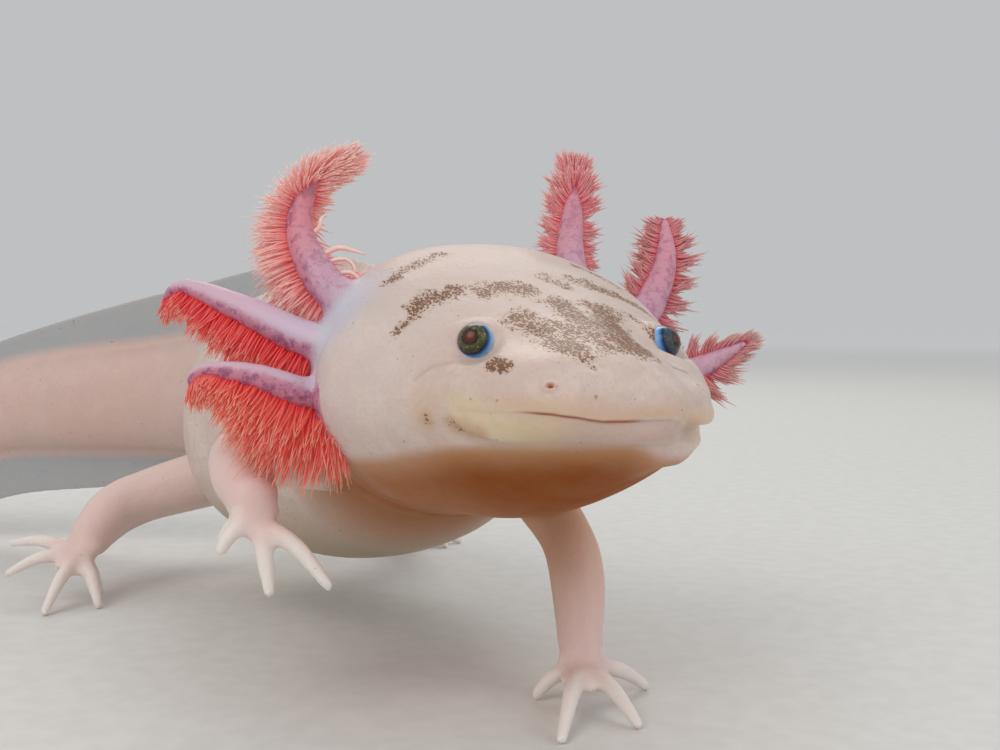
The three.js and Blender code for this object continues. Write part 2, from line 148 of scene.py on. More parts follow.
def monotone(xs, ys):
    """A smooth curve through some points that never overshoots between two of them."""
    xs, ys = np.asarray(xs, float), np.asarray(ys, float)
    slope = np.diff(ys) / np.diff(xs)
    before, after = slope[:-1], slope[1:]
    both = before + after
    inner = np.where(before * after > 0, 2 * before * after / np.where(both == 0, 1, both), 0)
    tangent = np.concatenate([slope[:1], inner, slope[-1:]])

    def at(x):
        x = np.clip(x, xs[0], xs[-1])
        i = np.clip(np.searchsorted(xs, x, side="right") - 1, 0, len(xs) - 2)
        width = xs[i + 1] - xs[i]
        t = (x - xs[i]) / width
        rise, start, end = ys[i + 1] - ys[i], tangent[i] * width, tangent[i + 1] * width
        bend = 3 * rise - 2 * start - end + t * (start + end - 2 * rise)
        return ys[i] + t * (start + t * bend)

    return at


def body_measure(column):
    along = monotone(np.sqrt(BODY[:, 0]), BODY[:, column])
    return lambda s: along(np.sqrt(np.maximum(s, 0)))


half_width, top, bottom, widest = (body_measure(column) for column in (1, 2, 3, 4))


BODY_ENDS = 219
RING_POINTS = 160


def crown(s):
    """How square the upper half of a section is: 1 for a round one, less for a fuller one."""
    return 2 / (2.05 + 0.35 * (1 - smooth((s - 20) / 40)))


def keel(s):
    """How square the lower half of a section is. It is more pointed under the head."""
    return 2 / (2.15 - 0.42 * (1 - smooth((s - 30) / 25)))


def bent(value, exponent):
    return np.sign(value) * np.abs(value) ** exponent


def loft(rings):
    """A closed skin through rings of points, with a fan over each end: its points and faces."""
    rings = np.asarray(rings, float)
    rows, count = rings.shape[:2]
    points = np.vstack([rings.reshape(-1, 3), rings[0].mean(0), rings[-1].mean(0)])
    k = np.arange(count)
    a = (np.arange(rows - 1)[:, None] * count + k).ravel()
    b = (np.arange(rows - 1)[:, None] * count + (k + 1) % count).ravel()
    faces = np.stack([a, b, b + count, a + count], 1).tolist()
    last = (rows - 1) * count
    for i in k:
        j = (i + 1) % count
        faces.append([rows * count, j, i])
        faces.append([rows * count + 1, last + i, last + j])
    return points, faces


turns = np.linspace(0, 2 * np.pi, RING_POINTS, endpoint=False)
head_stations = HEAD_TIP + 30 * np.linspace(0, 1, 90) ** 2  # closest at the blunt snout
body_stations = np.concatenate([head_stations, np.arange(30.5, BODY_ENDS + 0.1, STEP)])
body_rings = []
for s in body_stations:
    across, up = np.cos(turns), np.sin(turns)
    squareness = np.where(up > 0, crown(s), keel(s))
    reach = np.where(up > 0, top(s) - widest(s), widest(s) - bottom(s))
    height = widest(s) + reach * bent(up, squareness)
    body_rings.append(body_point(s, half_width(s) * bent(across, squareness), height))
flesh = [loft(body_rings)]


def beyond_body(points):
    """Under 1 for a point inside the body, over 1 outside it."""
    s, left = on_backbone(points)
    height = points[:, 2] - widest(s)
    reach = np.where(height > 0, top(s) - widest(s), widest(s) - bottom(s))
    exponent = 2 / np.where(height > 0, crown(s), keel(s))
    across = np.abs(left) / np.maximum(half_width(s), 0.01)
    return across**exponent + (np.abs(height) / np.maximum(reach, 0.01)) ** exponent


# ---- skin: fins ----
# The upper fin is a thin fold of skin that starts on the back and runs round the tip of the tail,
# where it meets the lower fin. Both are thicker at their root.

DORSAL_EDGE = monotone(
    (58, 68, 90, 112, 135, 168, 190, 206, 217, 221, 223),
    (49.6, 50.6, 51, 50.4, 47.4, 39.4, 31.4, 22.6, 13, 9.8, 7.3),
)
VENTRAL_EDGE = monotone(
    (121, 135, 150, 168, 182, 196, 210, 217, 221, 223),
    (16.2, 13.8, 11.2, 9.4, 5.6, 0.25, 0.25, 1.4, 3.4, 5.7),
)
FIN_MADE = 0.62  # half thickness as joined to the body; the fins are then drawn out thinner
FIN_ROOT, FIN_EDGE = 0.62, 0.2  # half thickness as finished
DORSAL_STARTS, VENTRAL_STARTS = 50, 121

fin_rings = []
for s in np.arange(DORSAL_STARTS, TAIL_ENDS + 0.01, STEP):
    sunk = top(s) - 0.8  # the fin rises out of the back over its first few millimetres
    upper = sunk + (DORSAL_EDGE(s) - sunk) * smooth((s - 52) / 24)
    lower = widest(min(s, BODY_ENDS)) if s < VENTRAL_STARTS else VENTRAL_EDGE(s)
    share = 0.5 - 0.5 * np.cos(np.pi * np.linspace(0, 1, 48))
    heights = lower + (upper - lower) * share
    to_edge = np.minimum(heights - lower, upper - heights)
    half = FIN_MADE * np.sqrt(np.clip(1 - np.clip(1 - to_edge / FIN_MADE, 0, 1) ** 2, 0.01, 1))
    side = body_point(s, half, heights)
    other = body_point(s, -half[::-1], heights[::-1])
    fin_rings.append(np.vstack([side, other]))
flesh.append(loft(fin_rings))


# ---- skin: legs and toes ----
# The forelegs have four toes and the hind legs five. Each leg bends at a soft elbow or knee and ends in
# a flat palm, from which the toes arch to their tips.

LEGS = {
    "foreleg_left": {
        "joints": [(-47, 8, 26), (-32.8, 10.2, 15.8), (-27.2, 8.4, 6.2)],
        "widths": (4.2, 3.1, 2.6),
        "palm": (-25.4, 7.6, 4),
        "palm_width": 2.9,
        "toes": [(-27.6, 2.4, 0.1), (-13, -1.9, 0.3), (-13.4, 7.8, 0.3), (-25.3, 16.4, 0.2)],
    },
    "foreleg_right": {
        "joints": [(-47, -10, 26), (-44.4, -25.2, 27), (-36, -27, 23.6)],
        "widths": (4.6, 3.7, 2.9),
        "palm": (-33.9, -27, 21.8),
        "palm_width": 2.9,
        "toes": [(-27.5, -21, 14.8), (-30.3, -26.7, 14), (-33.6, -31.3, 18.2), (-38.5, -29.9, 18.6)],
    },
    "hindleg_left": {
        "joints": [(-107, 8, 22), (-112, 21, 15), (-120, 23.4, 5.2)],
        "widths": (5, 3.9, 2.9),
        "palm": (-122.6, 26.4, 1.6),
        "palm_width": 3.3,
        "toes": [
            (-116, 31, 0.3),
            (-119.5, 35.4, 0.3),
            (-126, 35.8, 0.3),
            (-131, 32, 0.3),
            (-132, 26, 0.3),
        ],
    },
    "hindleg_right": {
        "joints": [(-107, -9, 18), (-108.6, -28, 12.8), (-103, -33.6, 9.4)],
        "widths": (5, 4, 3.1),
        "palm": (-100.6, -35.6, 7.6),
        "palm_width": 3.1,
        "toes": [
            (-101.3, -32.5, 0),
            (-94, -34, 0),
            (-93.1, -42, 0),
            (-103.1, -46, 4.5),
            (-112, -44.4, 7.6),
        ],
    },
}
TOE_WIDTHS = (1.2, 0.92, 0.62, 0.5)  # half widths at the root, the knuckle, near the tip and at the tip
WEB_WIDTHS = (1.9, 1.1)
PALM_FLAT = 0.62  # a palm is this much thinner than it is wide
CALF = 0.28  # the lower leg swells by this


def smooth_line(joints, count):
    """Evenly spaced points along a smooth curve through some joints."""
    p = np.asarray(joints, float)
    p = np.vstack([2 * p[0] - p[1], p, 2 * p[-1] - p[-2]])
    t = np.linspace(0, 1, 40)[:, None]
    pieces = []
    for a, b, c, d in zip(p, p[1:], p[2:], p[3:]):
        ab, bc, cd = (np.linalg.norm(gap) ** 0.5 for gap in (b - a, c - b, d - c))
        start = ((b - a) / ab - (c - a) / (ab + bc) + (c - b) / bc) * bc
        end = ((c - b) / bc - (d - b) / (bc + cd) + (d - c) / cd) * bc
        bend = 3 * (c - b) - 2 * start - end + t * (start + end - 2 * (c - b))
        pieces.append((b + t * (start + t * bend))[:-1])
    line = np.vstack(pieces + [p[-2:-1]])
    length = np.concatenate([[0], np.cumsum(np.linalg.norm(np.diff(line, axis=0), axis=1))])
    even = np.linspace(0, length[-1], count)
    return np.stack([np.interp(even, length, line[:, k]) for k in range(3)], 1)


def tube(line, radius, flat=1.0, count=24):
    """A closed tube with round ends along a line. flat squashes its height."""
    along = np.gradient(line, axis=0)
    along /= np.linalg.norm(along, axis=1)[:, None]
    across = np.cross(along, (0, 0, 1))
    across[np.linalg.norm(across, axis=1) < 0.05] = (1, 0, 0)
    for i in range(1, len(across)):
        if across[i] @ across[i - 1] < 0:
            across[i] = -across[i]
    across -= along * (across * along).sum(1)[:, None]
    across /= np.linalg.norm(across, axis=1)[:, None]
    upward = np.cross(across, along)
    travel = np.concatenate([[0], np.cumsum(np.linalg.norm(np.diff(line, axis=0), axis=1))])
    to_end = np.minimum(travel, travel[-1] - travel)
    radius = radius * np.sqrt(1 - np.clip(1 - (to_end + 0.02) / radius, 0, 1) ** 2)
    angle = np.linspace(0, 2 * np.pi, count, endpoint=False)[None, :, None]
    sides = np.cos(angle) * across[:, None] + np.sin(angle) * flat * upward[:, None]
    return loft(line[:, None] + sides * radius[:, None, None])


leg_lines, toe_lines = {}, []
for name, leg in LEGS.items():
    end, palm = np.array(leg["joints"][-1]), np.array(leg["palm"])
    line = smooth_line(leg["joints"] + [leg["palm"]], 140)
    share = np.linspace(0, 1, 140)
    thick, bend_width, wrist = leg["widths"]
    radius = monotone((0, 0.52, 0.9, 1), (thick, bend_width, wrist, wrist * 0.9))(share)
    radius = radius + CALF * np.sin(np.pi * np.clip((share - 0.5) / 0.36, 0, 1))
    flesh.append(tube(line, radius))
    leg_lines[name] = line

    ball = palm + 0.5 * (palm - end)
    palm_line = smooth_line([end, palm, ball], 60)
    width = monotone((0, 0.6, 1), (wrist, leg["palm_width"], leg["palm_width"] * 0.62))
    flesh.append(tube(palm_line, width(np.linspace(0, 1, 60)), flat=PALM_FLAT))
    for tip in np.array(leg["toes"]):
        start = palm + 0.12 * (tip - palm)
        knuckle = palm + 0.55 * (tip - palm) + (0, 0, 0.9)
        toe_line = smooth_line([start, knuckle, tip], 110)
        toe_width = monotone((0, 0.45, 0.88, 1), TOE_WIDTHS)(np.linspace(0, 1, 110))
        toe_line[:, 2] = np.maximum(toe_line[:, 2], toe_width * 0.9)
        flesh.append(tube(toe_line, toe_width))
        toe_lines.append(toe_line)
    for one, other in zip(leg["toes"], leg["toes"][1:]):
        between = (np.array(one) + other) / 2 - palm
        middle, edge = palm + 0.3 * between + (0, 0, 0.5), palm + 0.44 * between + (0, 0, 0.2)
        web = smooth_line([palm, middle, edge], 50)
        web[:, 2] = np.maximum(web[:, 2], 0.8)
        flesh.append(tube(web, np.linspace(*WEB_WIDTHS, 50), flat=0.5))


# ---- skin: gill stalks ----
# Three fleshy stalks stand out on each side, behind the head. They taper to a blunt tip, are marbled with
# mauve veins, and carry soft filaments along their rear side.

GILLS = {
    "gill_right_upper": {
        "stalk": [
            (-33, -15.2, 42.8),
            (-37.6, -18.6, 47.2),
            (-43.3, -19.2, 53.6),
            (-43.7, -17.4, 58.2),
            (-40.9, -14.0, 60.4),
        ],
        "back": (-1, -0.1, 0.2),  # the way the filaments point
        "spread": 45,  # degrees between that and a filament's place round the stalk, in the outer rows
        "wrap": 2.7,  # how much further round they stand at the stalk's tip
        "trim": 0.5,  # how much shorter they are there
        "reach": 6.3,  # length of the longest
        "curls": [  # loose ones in front: share along the stalk, steps to the left and upward
            (0.42, [(0, 0), (1.8, 0.9), (3.4, 0.6), (5.0, 0.1)]),
            (0.38, [(0, 0), (2.2, 0.4), (3.2, -0.6), (2.8, -1.7), (1.7, -2.1)]),
            (0.56, [(0, 0), (0.8, 0.6), (1.0, 1.5), (1.6, 2.2)]),
            (0.3, [(0, 0), (1.6, 0.3), (2.8, -0.6), (2.9, -1.9)]),
        ],
        "marbled": 0.5,  # how veined its front is
        "flush": 1.0,  # how red its tip is
        "bare": 0.2,  # share of the stalk with no filaments, at its root
    },
    "gill_right_middle": {
        "stalk": [
            (-33, -16.6, 39),
            (-36.4, -21, 40.6),
            (-41.5, -26.9, 44),
            (-47.3, -31.9, 46.2),
            (-49.4, -33.4, 44.8),
        ],
        "back": (-0.68, 0, -0.73),
        "spread": 42,
        "wrap": 1.15,
        "trim": 0.1,
        "reach": 5.3,
        "marbled": 0.0,
        "flush": 0.3,
        "bare": 0.2,
    },
    "gill_right_lower": {
        "stalk": [
            (-31.2, -16.5, 34.2),
            (-33.1, -20.5, 34.2),
            (-35.5, -27.1, 36.6),
            (-37.8, -31.9, 37.1),
            (-38.4, -33.2, 35.4),
        ],
        "back": (0.02, 0, -1),
        "spread": 34,
        "wrap": 1.15,
        "trim": 0,
        "reach": 7.0,
        "taper": 0.42,  # how much shorter its filaments grow along it
        "marbled": 0.0,
        "flush": 0.3,
        "bare": 0.12,
    },
    "gill_left_upper": {
        "stalk": [(-34, 12.5, 42.5), (-40.5, 14.3, 50.5), (-43.7, 16.4, 55.5), (-47.1, 18.7, 62.4)],
        "back": (-0.95, 0.3, -0.3),
        "spread": 50,
        "wrap": 2.4,
        "trim": 0,
        "reach": 4.9,
        "marbled": 0.45,
        "flush": 0.7,
        "bare": 0.42,
    },
    "gill_left_middle": {
        "stalk": [(-33, 16.5, 39.6), (-34.5, 21.5, 43.5), (-36.2, 25.3, 49.1), (-40.4, 28, 55.3)],
        "back": (-0.9, 0.5, -0.1),
        "spread": 52,
        "wrap": 1.15,
        "trim": -0.2,
        "reach": 5.6,
        "marbled": 0.55,
        "flush": 0.65,
        "bare": 0.3,
    },
    "gill_left_lower": {
        "stalk": [(-32, 17, 34.6), (-31.4, 26.6, 36.4), (-27.6, 31.6, 39.8)],
        "back": (-0.9, -0.2, -0.5),
        "spread": 64,
        "wrap": 1.1,
        "trim": 0.6,
        "reach": 5.0,
        "marbled": 0.25,
        "flush": 0.25,
        "bare": 0.36,
    },
}
stalk_width = monotone((0, 1 / 3, 2 / 3, 1), (2.6, 2.0, 1.45, 0.6))
stalk_lines = {}
for name, gill in GILLS.items():
    stalk_lines[name] = smooth_line(gill["stalk"], 140)
    flesh.append(tube(stalk_lines[name], stalk_width(np.linspace(0, 1, 140))))


# ---- skin: joined ----
# All of that flesh is grown into one skin without a seam: a fine remesh joins it, and the roots of the
# legs, toes, gills and fins are then relaxed into soft fillets.

SKIN_GRAIN = 0.36  # length of one side of a face
LEG_FILLET, STALK_FILLET, PALM_FILLET, FIN_FILLET = 9, 6, 5, 5  # how far round it each root is softened
FILLET_ROUNDS = 40


def mesh_of(name, points, faces):
    """A smoothly shaded mesh object from points in the body's own millimetres."""
    made = bpy.data.meshes.new(name)
    made.from_pydata((points + origin) * MM, [], faces)
    shade_smooth(made)
    shown = bpy.data.objects.new(name, made)
    bpy.context.scene.collection.objects.link(shown)
    return shown


def shade_smooth(mesh):
    mesh.polygons.foreach_set("use_smooth", np.ones(len(mesh.polygons), bool))


points, faces, start = [], [], 0
for some_points, some_faces in flesh:
    points.append(some_points)
    faces += [[i + start for i in face] for face in some_faces]
    start += len(some_points)
skin = mesh_of("skin", np.vstack(points), faces)
remesh = skin.modifiers.new("join", "REMESH")
remesh.mode = "VOXEL"
remesh.voxel_size = SKIN_GRAIN * MM
joined = bpy.data.meshes.new_from_object(skin.evaluated_get(bpy.context.evaluated_depsgraph_get()))
skin.modifiers.clear()
skin.data = joined


def read_points(mesh):
    flat = np.empty(len(mesh.vertices) * 3)
    mesh.vertices.foreach_get("co", flat)
    return flat.reshape(-1, 3) / MM - origin


def write_points(mesh, points):
    mesh.vertices.foreach_set("co", ((points + origin) * MM).ravel())
    mesh.update()


def relax(mesh, points, weight, rounds):
    """Moves each point towards the middle of its neighbours, by its weight."""
    edges = np.empty(len(mesh.edges) * 2, np.int64)
    mesh.edges.foreach_get("vertices", edges)
    a, b = edges.reshape(-1, 2).T
    ends, others = np.concatenate([a, b]), np.concatenate([b, a])
    degree = np.maximum(np.bincount(ends, minlength=len(points)), 1)
    weight = np.broadcast_to(weight, len(points))[:, None]
    for _ in range(rounds):
        total = [np.bincount(ends, points[others, k], len(points)) for k in range(3)]
        points = points + weight * (np.stack(total, 1) / degree[:, None] - points)
    return points


def near(points, centre, radius):
    """1 at a place, fading smoothly to 0 at a radius from it."""
    return smooth(1 - np.linalg.norm(points - centre, axis=1) / radius)


surface = read_points(skin.data)
for _ in range(4):  # a step out after each step in keeps thin toes and fins from shrinking
    surface = relax(skin.data, surface, 0.6, 1)
    surface = relax(skin.data, surface, -0.62, 1)
soften = np.zeros(len(surface))
for lines, size in ((leg_lines, LEG_FILLET), (stalk_lines, STALK_FILLET)):
    for line in lines.values():
        leaves = line[np.argmax(beyond_body(line) > 1.0)]
        soften = np.maximum(soften, near(surface, leaves, size))
for leg in LEGS.values():
    soften = np.maximum(soften, 0.5 * near(surface, np.array(leg["palm"]), PALM_FILLET))
for s in range(52, 76, 3):  # where the upper fin rises out of the back
    soften = np.maximum(soften, 0.7 * near(surface, body_point(s, 0, top(s)), FIN_FILLET))
for line in stalk_lines.values():
    for place in line[::12]:
        soften = np.maximum(soften, 0.3 * near(surface, place, 5))
s, left = on_backbone(surface)
ridge = np.abs(surface[:, 2] - top(s)) < 2
keel_line = np.abs(surface[:, 2] - bottom(s)) < 2
at_fin = (np.abs(left) < 4) & ((ridge & (s > 56)) | (keel_line & (s > 119))) & (s < 205)
soften = np.maximum(soften, 0.6 * at_fin)
surface = relax(skin.data, surface, 0.55 * soften, FILLET_ROUNDS)

# The fins are drawn out thin, from their root to their edge.
s, left = on_backbone(surface)
height = surface[:, 2]
core = np.minimum(s, BODY_ENDS)
ridge_gap = np.where(height > widest(core), height - top(core), bottom(core) - height)
edge_gap = np.where(height > widest(core), DORSAL_EDGE(s) - height, height - VENTRAL_EDGE(s))
finished = FIN_EDGE + (FIN_ROOT - FIN_EDGE) * smooth(edge_gap / 9)
drawn = smooth((ridge_gap + 0.2) / 2.5) * (s > 60) * (np.abs(left) < 2)
inward = -left * drawn * (1 - finished / FIN_MADE)
surface[:, 0] -= np.sin(heading(s)) * inward
surface[:, 1] += np.cos(heading(s)) * inward
write_points(skin.data, surface)


# ---- skin: face and folds ----
# The mouth is a long fine slit under an overhanging upper lip, whose lobe wraps the corner of the jaw.
# Small nostrils, a rim round each lidless eye, a few creases and the grooves between the ribs finish it.

MOUTH = {  # (station, height) along the slit; the head rolls a little, so its left corner is lower
    "right": [(0, 33.7), (0.5, 33.7), (1.2, 34.1), (2.5, 34.4), (4, 34.5), (7, 34.4), (10, 34.4), (12.5, 35)],
    "left": [(0, 33.7), (0.5, 33.4), (1, 33), (1.7, 32.6), (4, 32.4), (8, 32.6), (12.5, 33.8)],
}
LIP_STATIONS = (0, 1.5, 4.3, 7.1, 8.7, 10.5, 11.8, 13.3)
LIP_BORDER = {  # the lower edge of the lip, at those stations
    "right": list(zip(LIP_STATIONS, (31.7, 31.7, 31.6, 31.4, 31.7, 32.1, 33, 34.6))),
    "left": list(zip(LIP_STATIONS, (31.7, 31.5, 30.9, 30.6, 30.8, 31.2, 32, 33.6))),
}
LEFT_CREASE = [  # places along the fine crease below the left eye
    (-5.6, 5.5, 38.7),
    (-5.4, 5.9, 38.38),
    (-5.82, 6.77, 38.1),
    (-6.5, 7.9, 37.85),
    (-7.0, 9.0, 37.5),
]
CREASE_WIDTH, CREASE_DEPTH = 0.17, 0.3
EYE_CREASE = [(10.8, 38.9), (12.4, 38.9), (13.6, 38.7), (15.4, 38.2), (16.8, 37)]  # (station, height)
NOSTRIL = (-3.0, 8.5, 36.9)  # the left one
EYE_SIZE = 1.8
EYE_RISE = 0.5  # the ball's centre stands this far out from the middle of its socket
EYE_SHIFTS = {"right": (0, 0, 0.3), "left": (0.15, -0.42, -0.15)}  # as the head rolls a little
RIM_HEIGHTS = {"right": 0.4, "left": 0.1}  # the socket's rim stands this far out from the ball's centre
SOCKET_DEPTH = 1.4  # and the skin inside it lies this far below the rim, behind the ball
RIB_SPACING = 5.2
SOCKET = (0.80, 0.50, 0.33)  # the way the left socket opens, and below the way the left eye looks
LOOK = {"right": (0.66, -0.68, 0.32), "left": (0.84, 0.45, 0.30)}


def beside(path, across, up):
    """Distance of each place from a path, and the same with a minus sign below it."""
    nearest, signed = np.full(len(up), 1e9), np.zeros(len(up))
    for (x0, y0), (x1, y1) in zip(path, path[1:]):
        dx, dy = x1 - x0, y1 - y0
        t = np.clip(((across - x0) * dx + (up - y0) * dy) / (dx * dx + dy * dy), 0, 1)
        gap = np.hypot(across - x0 - t * dx, up - y0 - t * dy)
        closer = gap < nearest
        side = np.sign(dx * (up - y0) - dy * (across - x0))
        signed = np.where(closer, side * gap, signed)
        nearest = np.where(closer, gap, nearest)
    return nearest, signed


def bump(distance, width):
    """1 at no distance, falling off like a bell. It is 0.37 at the width."""
    return np.exp(-((distance / width) ** 2))


def mirrored(place):
    return np.array(place) * (1, -1, 1)


def beside_both(paths, points):
    """beside() for a line that has one path on each side of the face."""
    s, left, z = -points[:, 0], points[:, 1], points[:, 2]
    gap, above = beside(paths["right"], s, z)
    other_gap, other_above = beside(paths["left"], s, z)
    swap = smooth((left + 4) / 8)
    return gap + swap * (other_gap - gap), above + swap * (other_above - above)


def split_finer(mesh, keep, rounds):
    """Cuts the faces whose middles keep() picks into four."""
    for _ in range(rounds):
        work = bmesh.new()
        work.from_mesh(mesh)
        work.faces.ensure_lookup_table()
        middles = np.array([face.calc_center_median() for face in work.faces]) / MM - origin
        picked = np.flatnonzero(keep(middles))
        edges = {edge for i in picked for edge in work.faces[i].edges}
        bmesh.ops.subdivide_edges(work, edges=list(edges), cuts=1, use_grid_fill=True)
        work.to_mesh(mesh)
        work.free()


def near_line(points, line, reach, every=3):
    """Distance of each point from a line and the share along it, for points within reach of it."""
    distance, share = np.full(len(points), 1e3), np.zeros(len(points))
    inside = ((points > line.min(0) - reach) & (points < line.max(0) + reach)).all(1)
    some = line[::every]

    def nearest(part):
        gaps = np.linalg.norm(part[:, None] - some[None], axis=2)
        return gaps.min(1), gaps.argmin(1) / (len(some) - 1)

    if inside.any():
        distance[inside], share[inside] = in_chunks(nearest, points[inside])
    return distance, share


sides = {"right": -1, "left": 1}
sockets = {side: np.array(SOCKET) * (1, sign, 1) / np.linalg.norm(SOCKET) for side, sign in sides.items()}
looks = {side: np.array(look) / np.linalg.norm(look) for side, look in LOOK.items()}
eyes = {
    side: np.array(eye_centres[side]) / MM - origin + EYE_RISE * sockets[side] + EYE_SHIFTS[side]
    for side in sides
}


def face_detail(points):
    """Where the skin needs finer faces: round the lips, the eyes and the nostrils."""
    s, z = -points[:, 0], points[:, 2]
    lips = (s < 15) & (z > 30) & (z < 36.5)
    round_eyes = sum(np.linalg.norm(points - eye, axis=1) < 3.6 for eye in eyes.values()) > 0
    nostrils = np.linalg.norm(np.abs(points) - np.abs(NOSTRIL), axis=1) < 1.6
    return lips | round_eyes | nostrils


def mouth_detail(points):
    """Where it needs them finer still: at the slit, the pits, the rims and the crease."""
    gap, _ = beside_both(MOUTH, points)
    nostrils = np.linalg.norm(np.abs(points) - np.abs(NOSTRIL), axis=1) < 1.1
    rims = sum(np.abs(np.linalg.norm(points - eye, axis=1) - EYE_SIZE) < 0.6 for eye in eyes.values()) > 0
    crease = near_line(points, smooth_line(LEFT_CREASE, 30), 3)[0] < 2.4
    return ((gap < 0.7) & (points[:, 0] > -9)) | nostrils | rims | crease


split_finer(skin.data, face_detail, 1)
split_finer(skin.data, mouth_detail, 1)
surface = read_points(skin.data)
surface = relax(skin.data, surface, 0.5 * face_detail(surface), 8)
write_points(skin.data, surface)


def vertex_normals(mesh):
    flat = np.empty(len(mesh.vertices) * 3)
    mesh.vertex_normals.foreach_get("vector", flat)
    return flat.reshape(-1, 3)


def relief(points):
    """How far the skin stands out from the plain form."""
    s, left = on_backbone(points)
    z, side = points[:, 2], np.abs(left)
    out = np.zeros(len(points))
    head = s < 30

    # the mouth's slit, open in front, and the lip below it
    gap, above = beside_both(MOUTH, points)
    opening = smooth((left + 11.4) / 2) * (1 - smooth((left + 2.4) / 3))
    under_lip = smooth(-above / 0.12 + 0.5) * bump(above, 1.1)
    notch = bump(above + 0.7, 0.7)
    mouth = -(0.04 + 0.13 * opening) * bump(gap, 0.11) - (0.1 + 0.08 * opening) * under_lip
    mouth *= (1 - 0.85 * smooth((s - 3.6) / 2.5)) * (1 - 0.55 * smooth((left - 1) / 3))
    mouth *= 1 - smooth((s - 8) / 4)
    gap, above = beside_both(LIP_BORDER, points)
    lobe = 0.6 + 0.4 * smooth((s - 3) / 5)
    over = smooth(above / (0.6 + 0.09 * np.minimum(s, 14)) + 0.5)
    lip = lobe * (0.4 * over * bump(above, 2.2) - 0.42 * (1 - over) * bump(above, 2))
    lip *= 1 - smooth((s - 8.5) / 5)
    out += np.where(s < 16, mouth + lip, 0)

    # hollows before the eyes and between them
    hollow = bump(s - 9.6, 3.6) * bump(side - 7.4, 3.3) + 0.42 * bump(s - 5, 4) * bump(side, 6)
    out -= (0.7 + 1.2 * smooth((left + 3) / 7)) * hollow * smooth((z - 36) / 2.5) * head

    # a full chin, and on the left a lip that overhangs the corner of the jaw and a slimmer snout above it
    chin = smooth((left + 7) / 5) * bump(z - 29.5, 2.2) + smooth((left + 1) / 6) * bump(z - 29.1, 1.7)
    out += 0.8 * chin * bump(s - 0.5, 4.8)
    corner = 0.6 * bump(z - 30.1, 0.9) - 0.3 * bump(z - 28.8, 1.0) - 0.25 * bump(z - 34.6, 0.9)
    out += corner * smooth((left - 2.5) / 3) * (1 - smooth((s - 6) / 4)) * head
    out -= 1.5 * notch * smooth((left - 2.5) / 4) * (1 - smooth((s - 9) / 5)) * head
    narrower = 0.4 * bump(z - 36, 3.4) + 1.2 * bump(z - 38.4, 2.3)
    out -= narrower * bump(s - 4, 5.5) * smooth((left - 1.5) / 5.5) * head

    # the fold below each eye, over a soft swelling
    gap, above = beside(EYE_CREASE, s, z)
    crease = -0.16 * bump(gap, 0.25) + 0.12 * bump(above + 1.6, 1.4)
    out += np.where(head & (side > 7), crease, 0)

    # the nostrils: a pit in a low ring
    for centre in (NOSTRIL, mirrored(NOSTRIL)):
        gap = np.linalg.norm((points - centre) * (1, 1, 1.7), axis=1)
        out += 0.16 * bump(gap - 0.62, 0.32) - 0.5 * bump(gap, 0.3)

    # the flap of skin that ends the head before the gills
    flap_end = np.interp(z, (22, 28, 34), (34.5, 31.6, 30.9))
    flap = smooth((s - 23) / 7) * (1 - smooth((s - flap_end) / 0.7)) - 0.4 * bump(s - flap_end - 1.2, 0.9)
    flap *= smooth((z - 21) / 4) * (1 - smooth((z - 37) / 6)) * smooth((side - 5) / 4)
    out += 0.9 * flap * (1 - smooth((beyond_body(points) - 1.1) / 0.2))

    # a groove between each two ribs, and one across the throat
    flank = bump(z - 29, 9) * smooth((s - 55) / 6) * (1 - smooth((s - 106) / 8)) * smooth((side - 8) / 5)
    rib = np.abs((s - 57) / RIB_SPACING - np.round((s - 57) / RIB_SPACING)) * RIB_SPACING
    out -= 0.28 * flank * bump(rib, 0.8)
    out -= 0.5 * smooth((30 - z) / 6) * bump(s - 41 - 0.25 * (z - 20), 0.9)
    return out


def open_sockets(points):
    """Draws the skin round each eye into a round rim, and down behind the ball inside it."""
    for side, eye in eyes.items():
        gap = points - eye
        rise = gap @ sockets[side]
        off = np.linalg.norm(gap - sockets[side] * rise[:, None], axis=1)
        sunk = SOCKET_DEPTH * smooth((EYE_SIZE * 0.955 - off) / 0.35)
        rim = RIM_HEIGHTS[side] + 0.06 * bump(off - 2.0, 0.3) - sunk
        pull = (1 - smooth((off - EYE_SIZE) / 1.5)) * (np.linalg.norm(gap, axis=1) < 4.5)
        points = points + sockets[side] * (pull * (rim - rise))[:, None]
    return points


nostrils = [np.linalg.norm(surface - at, axis=1).argmin() for at in (NOSTRIL, mirrored(NOSTRIL))]
surface = surface + vertex_normals(skin.data) * relief(surface)[:, None]
surface = open_sockets(surface)
write_points(skin.data, surface)
crease = bump(near_line(surface, smooth_line(LEFT_CREASE, 60), 2)[0], CREASE_WIDTH)
surface = surface - CREASE_DEPTH * vertex_normals(skin.data) * crease[:, None]
surface[:, 2] = np.maximum(surface[:, 2], 0)  # nothing goes below the floor
write_points(skin.data, surface)
shade_smooth(skin.data)


# ---- skin: colour ----
# A leucistic skin has no black: it is a pale rose white, thin enough for blood to show in the legs, tail
# and gills, with a few clusters of brown pigment grains on the crown of the head.


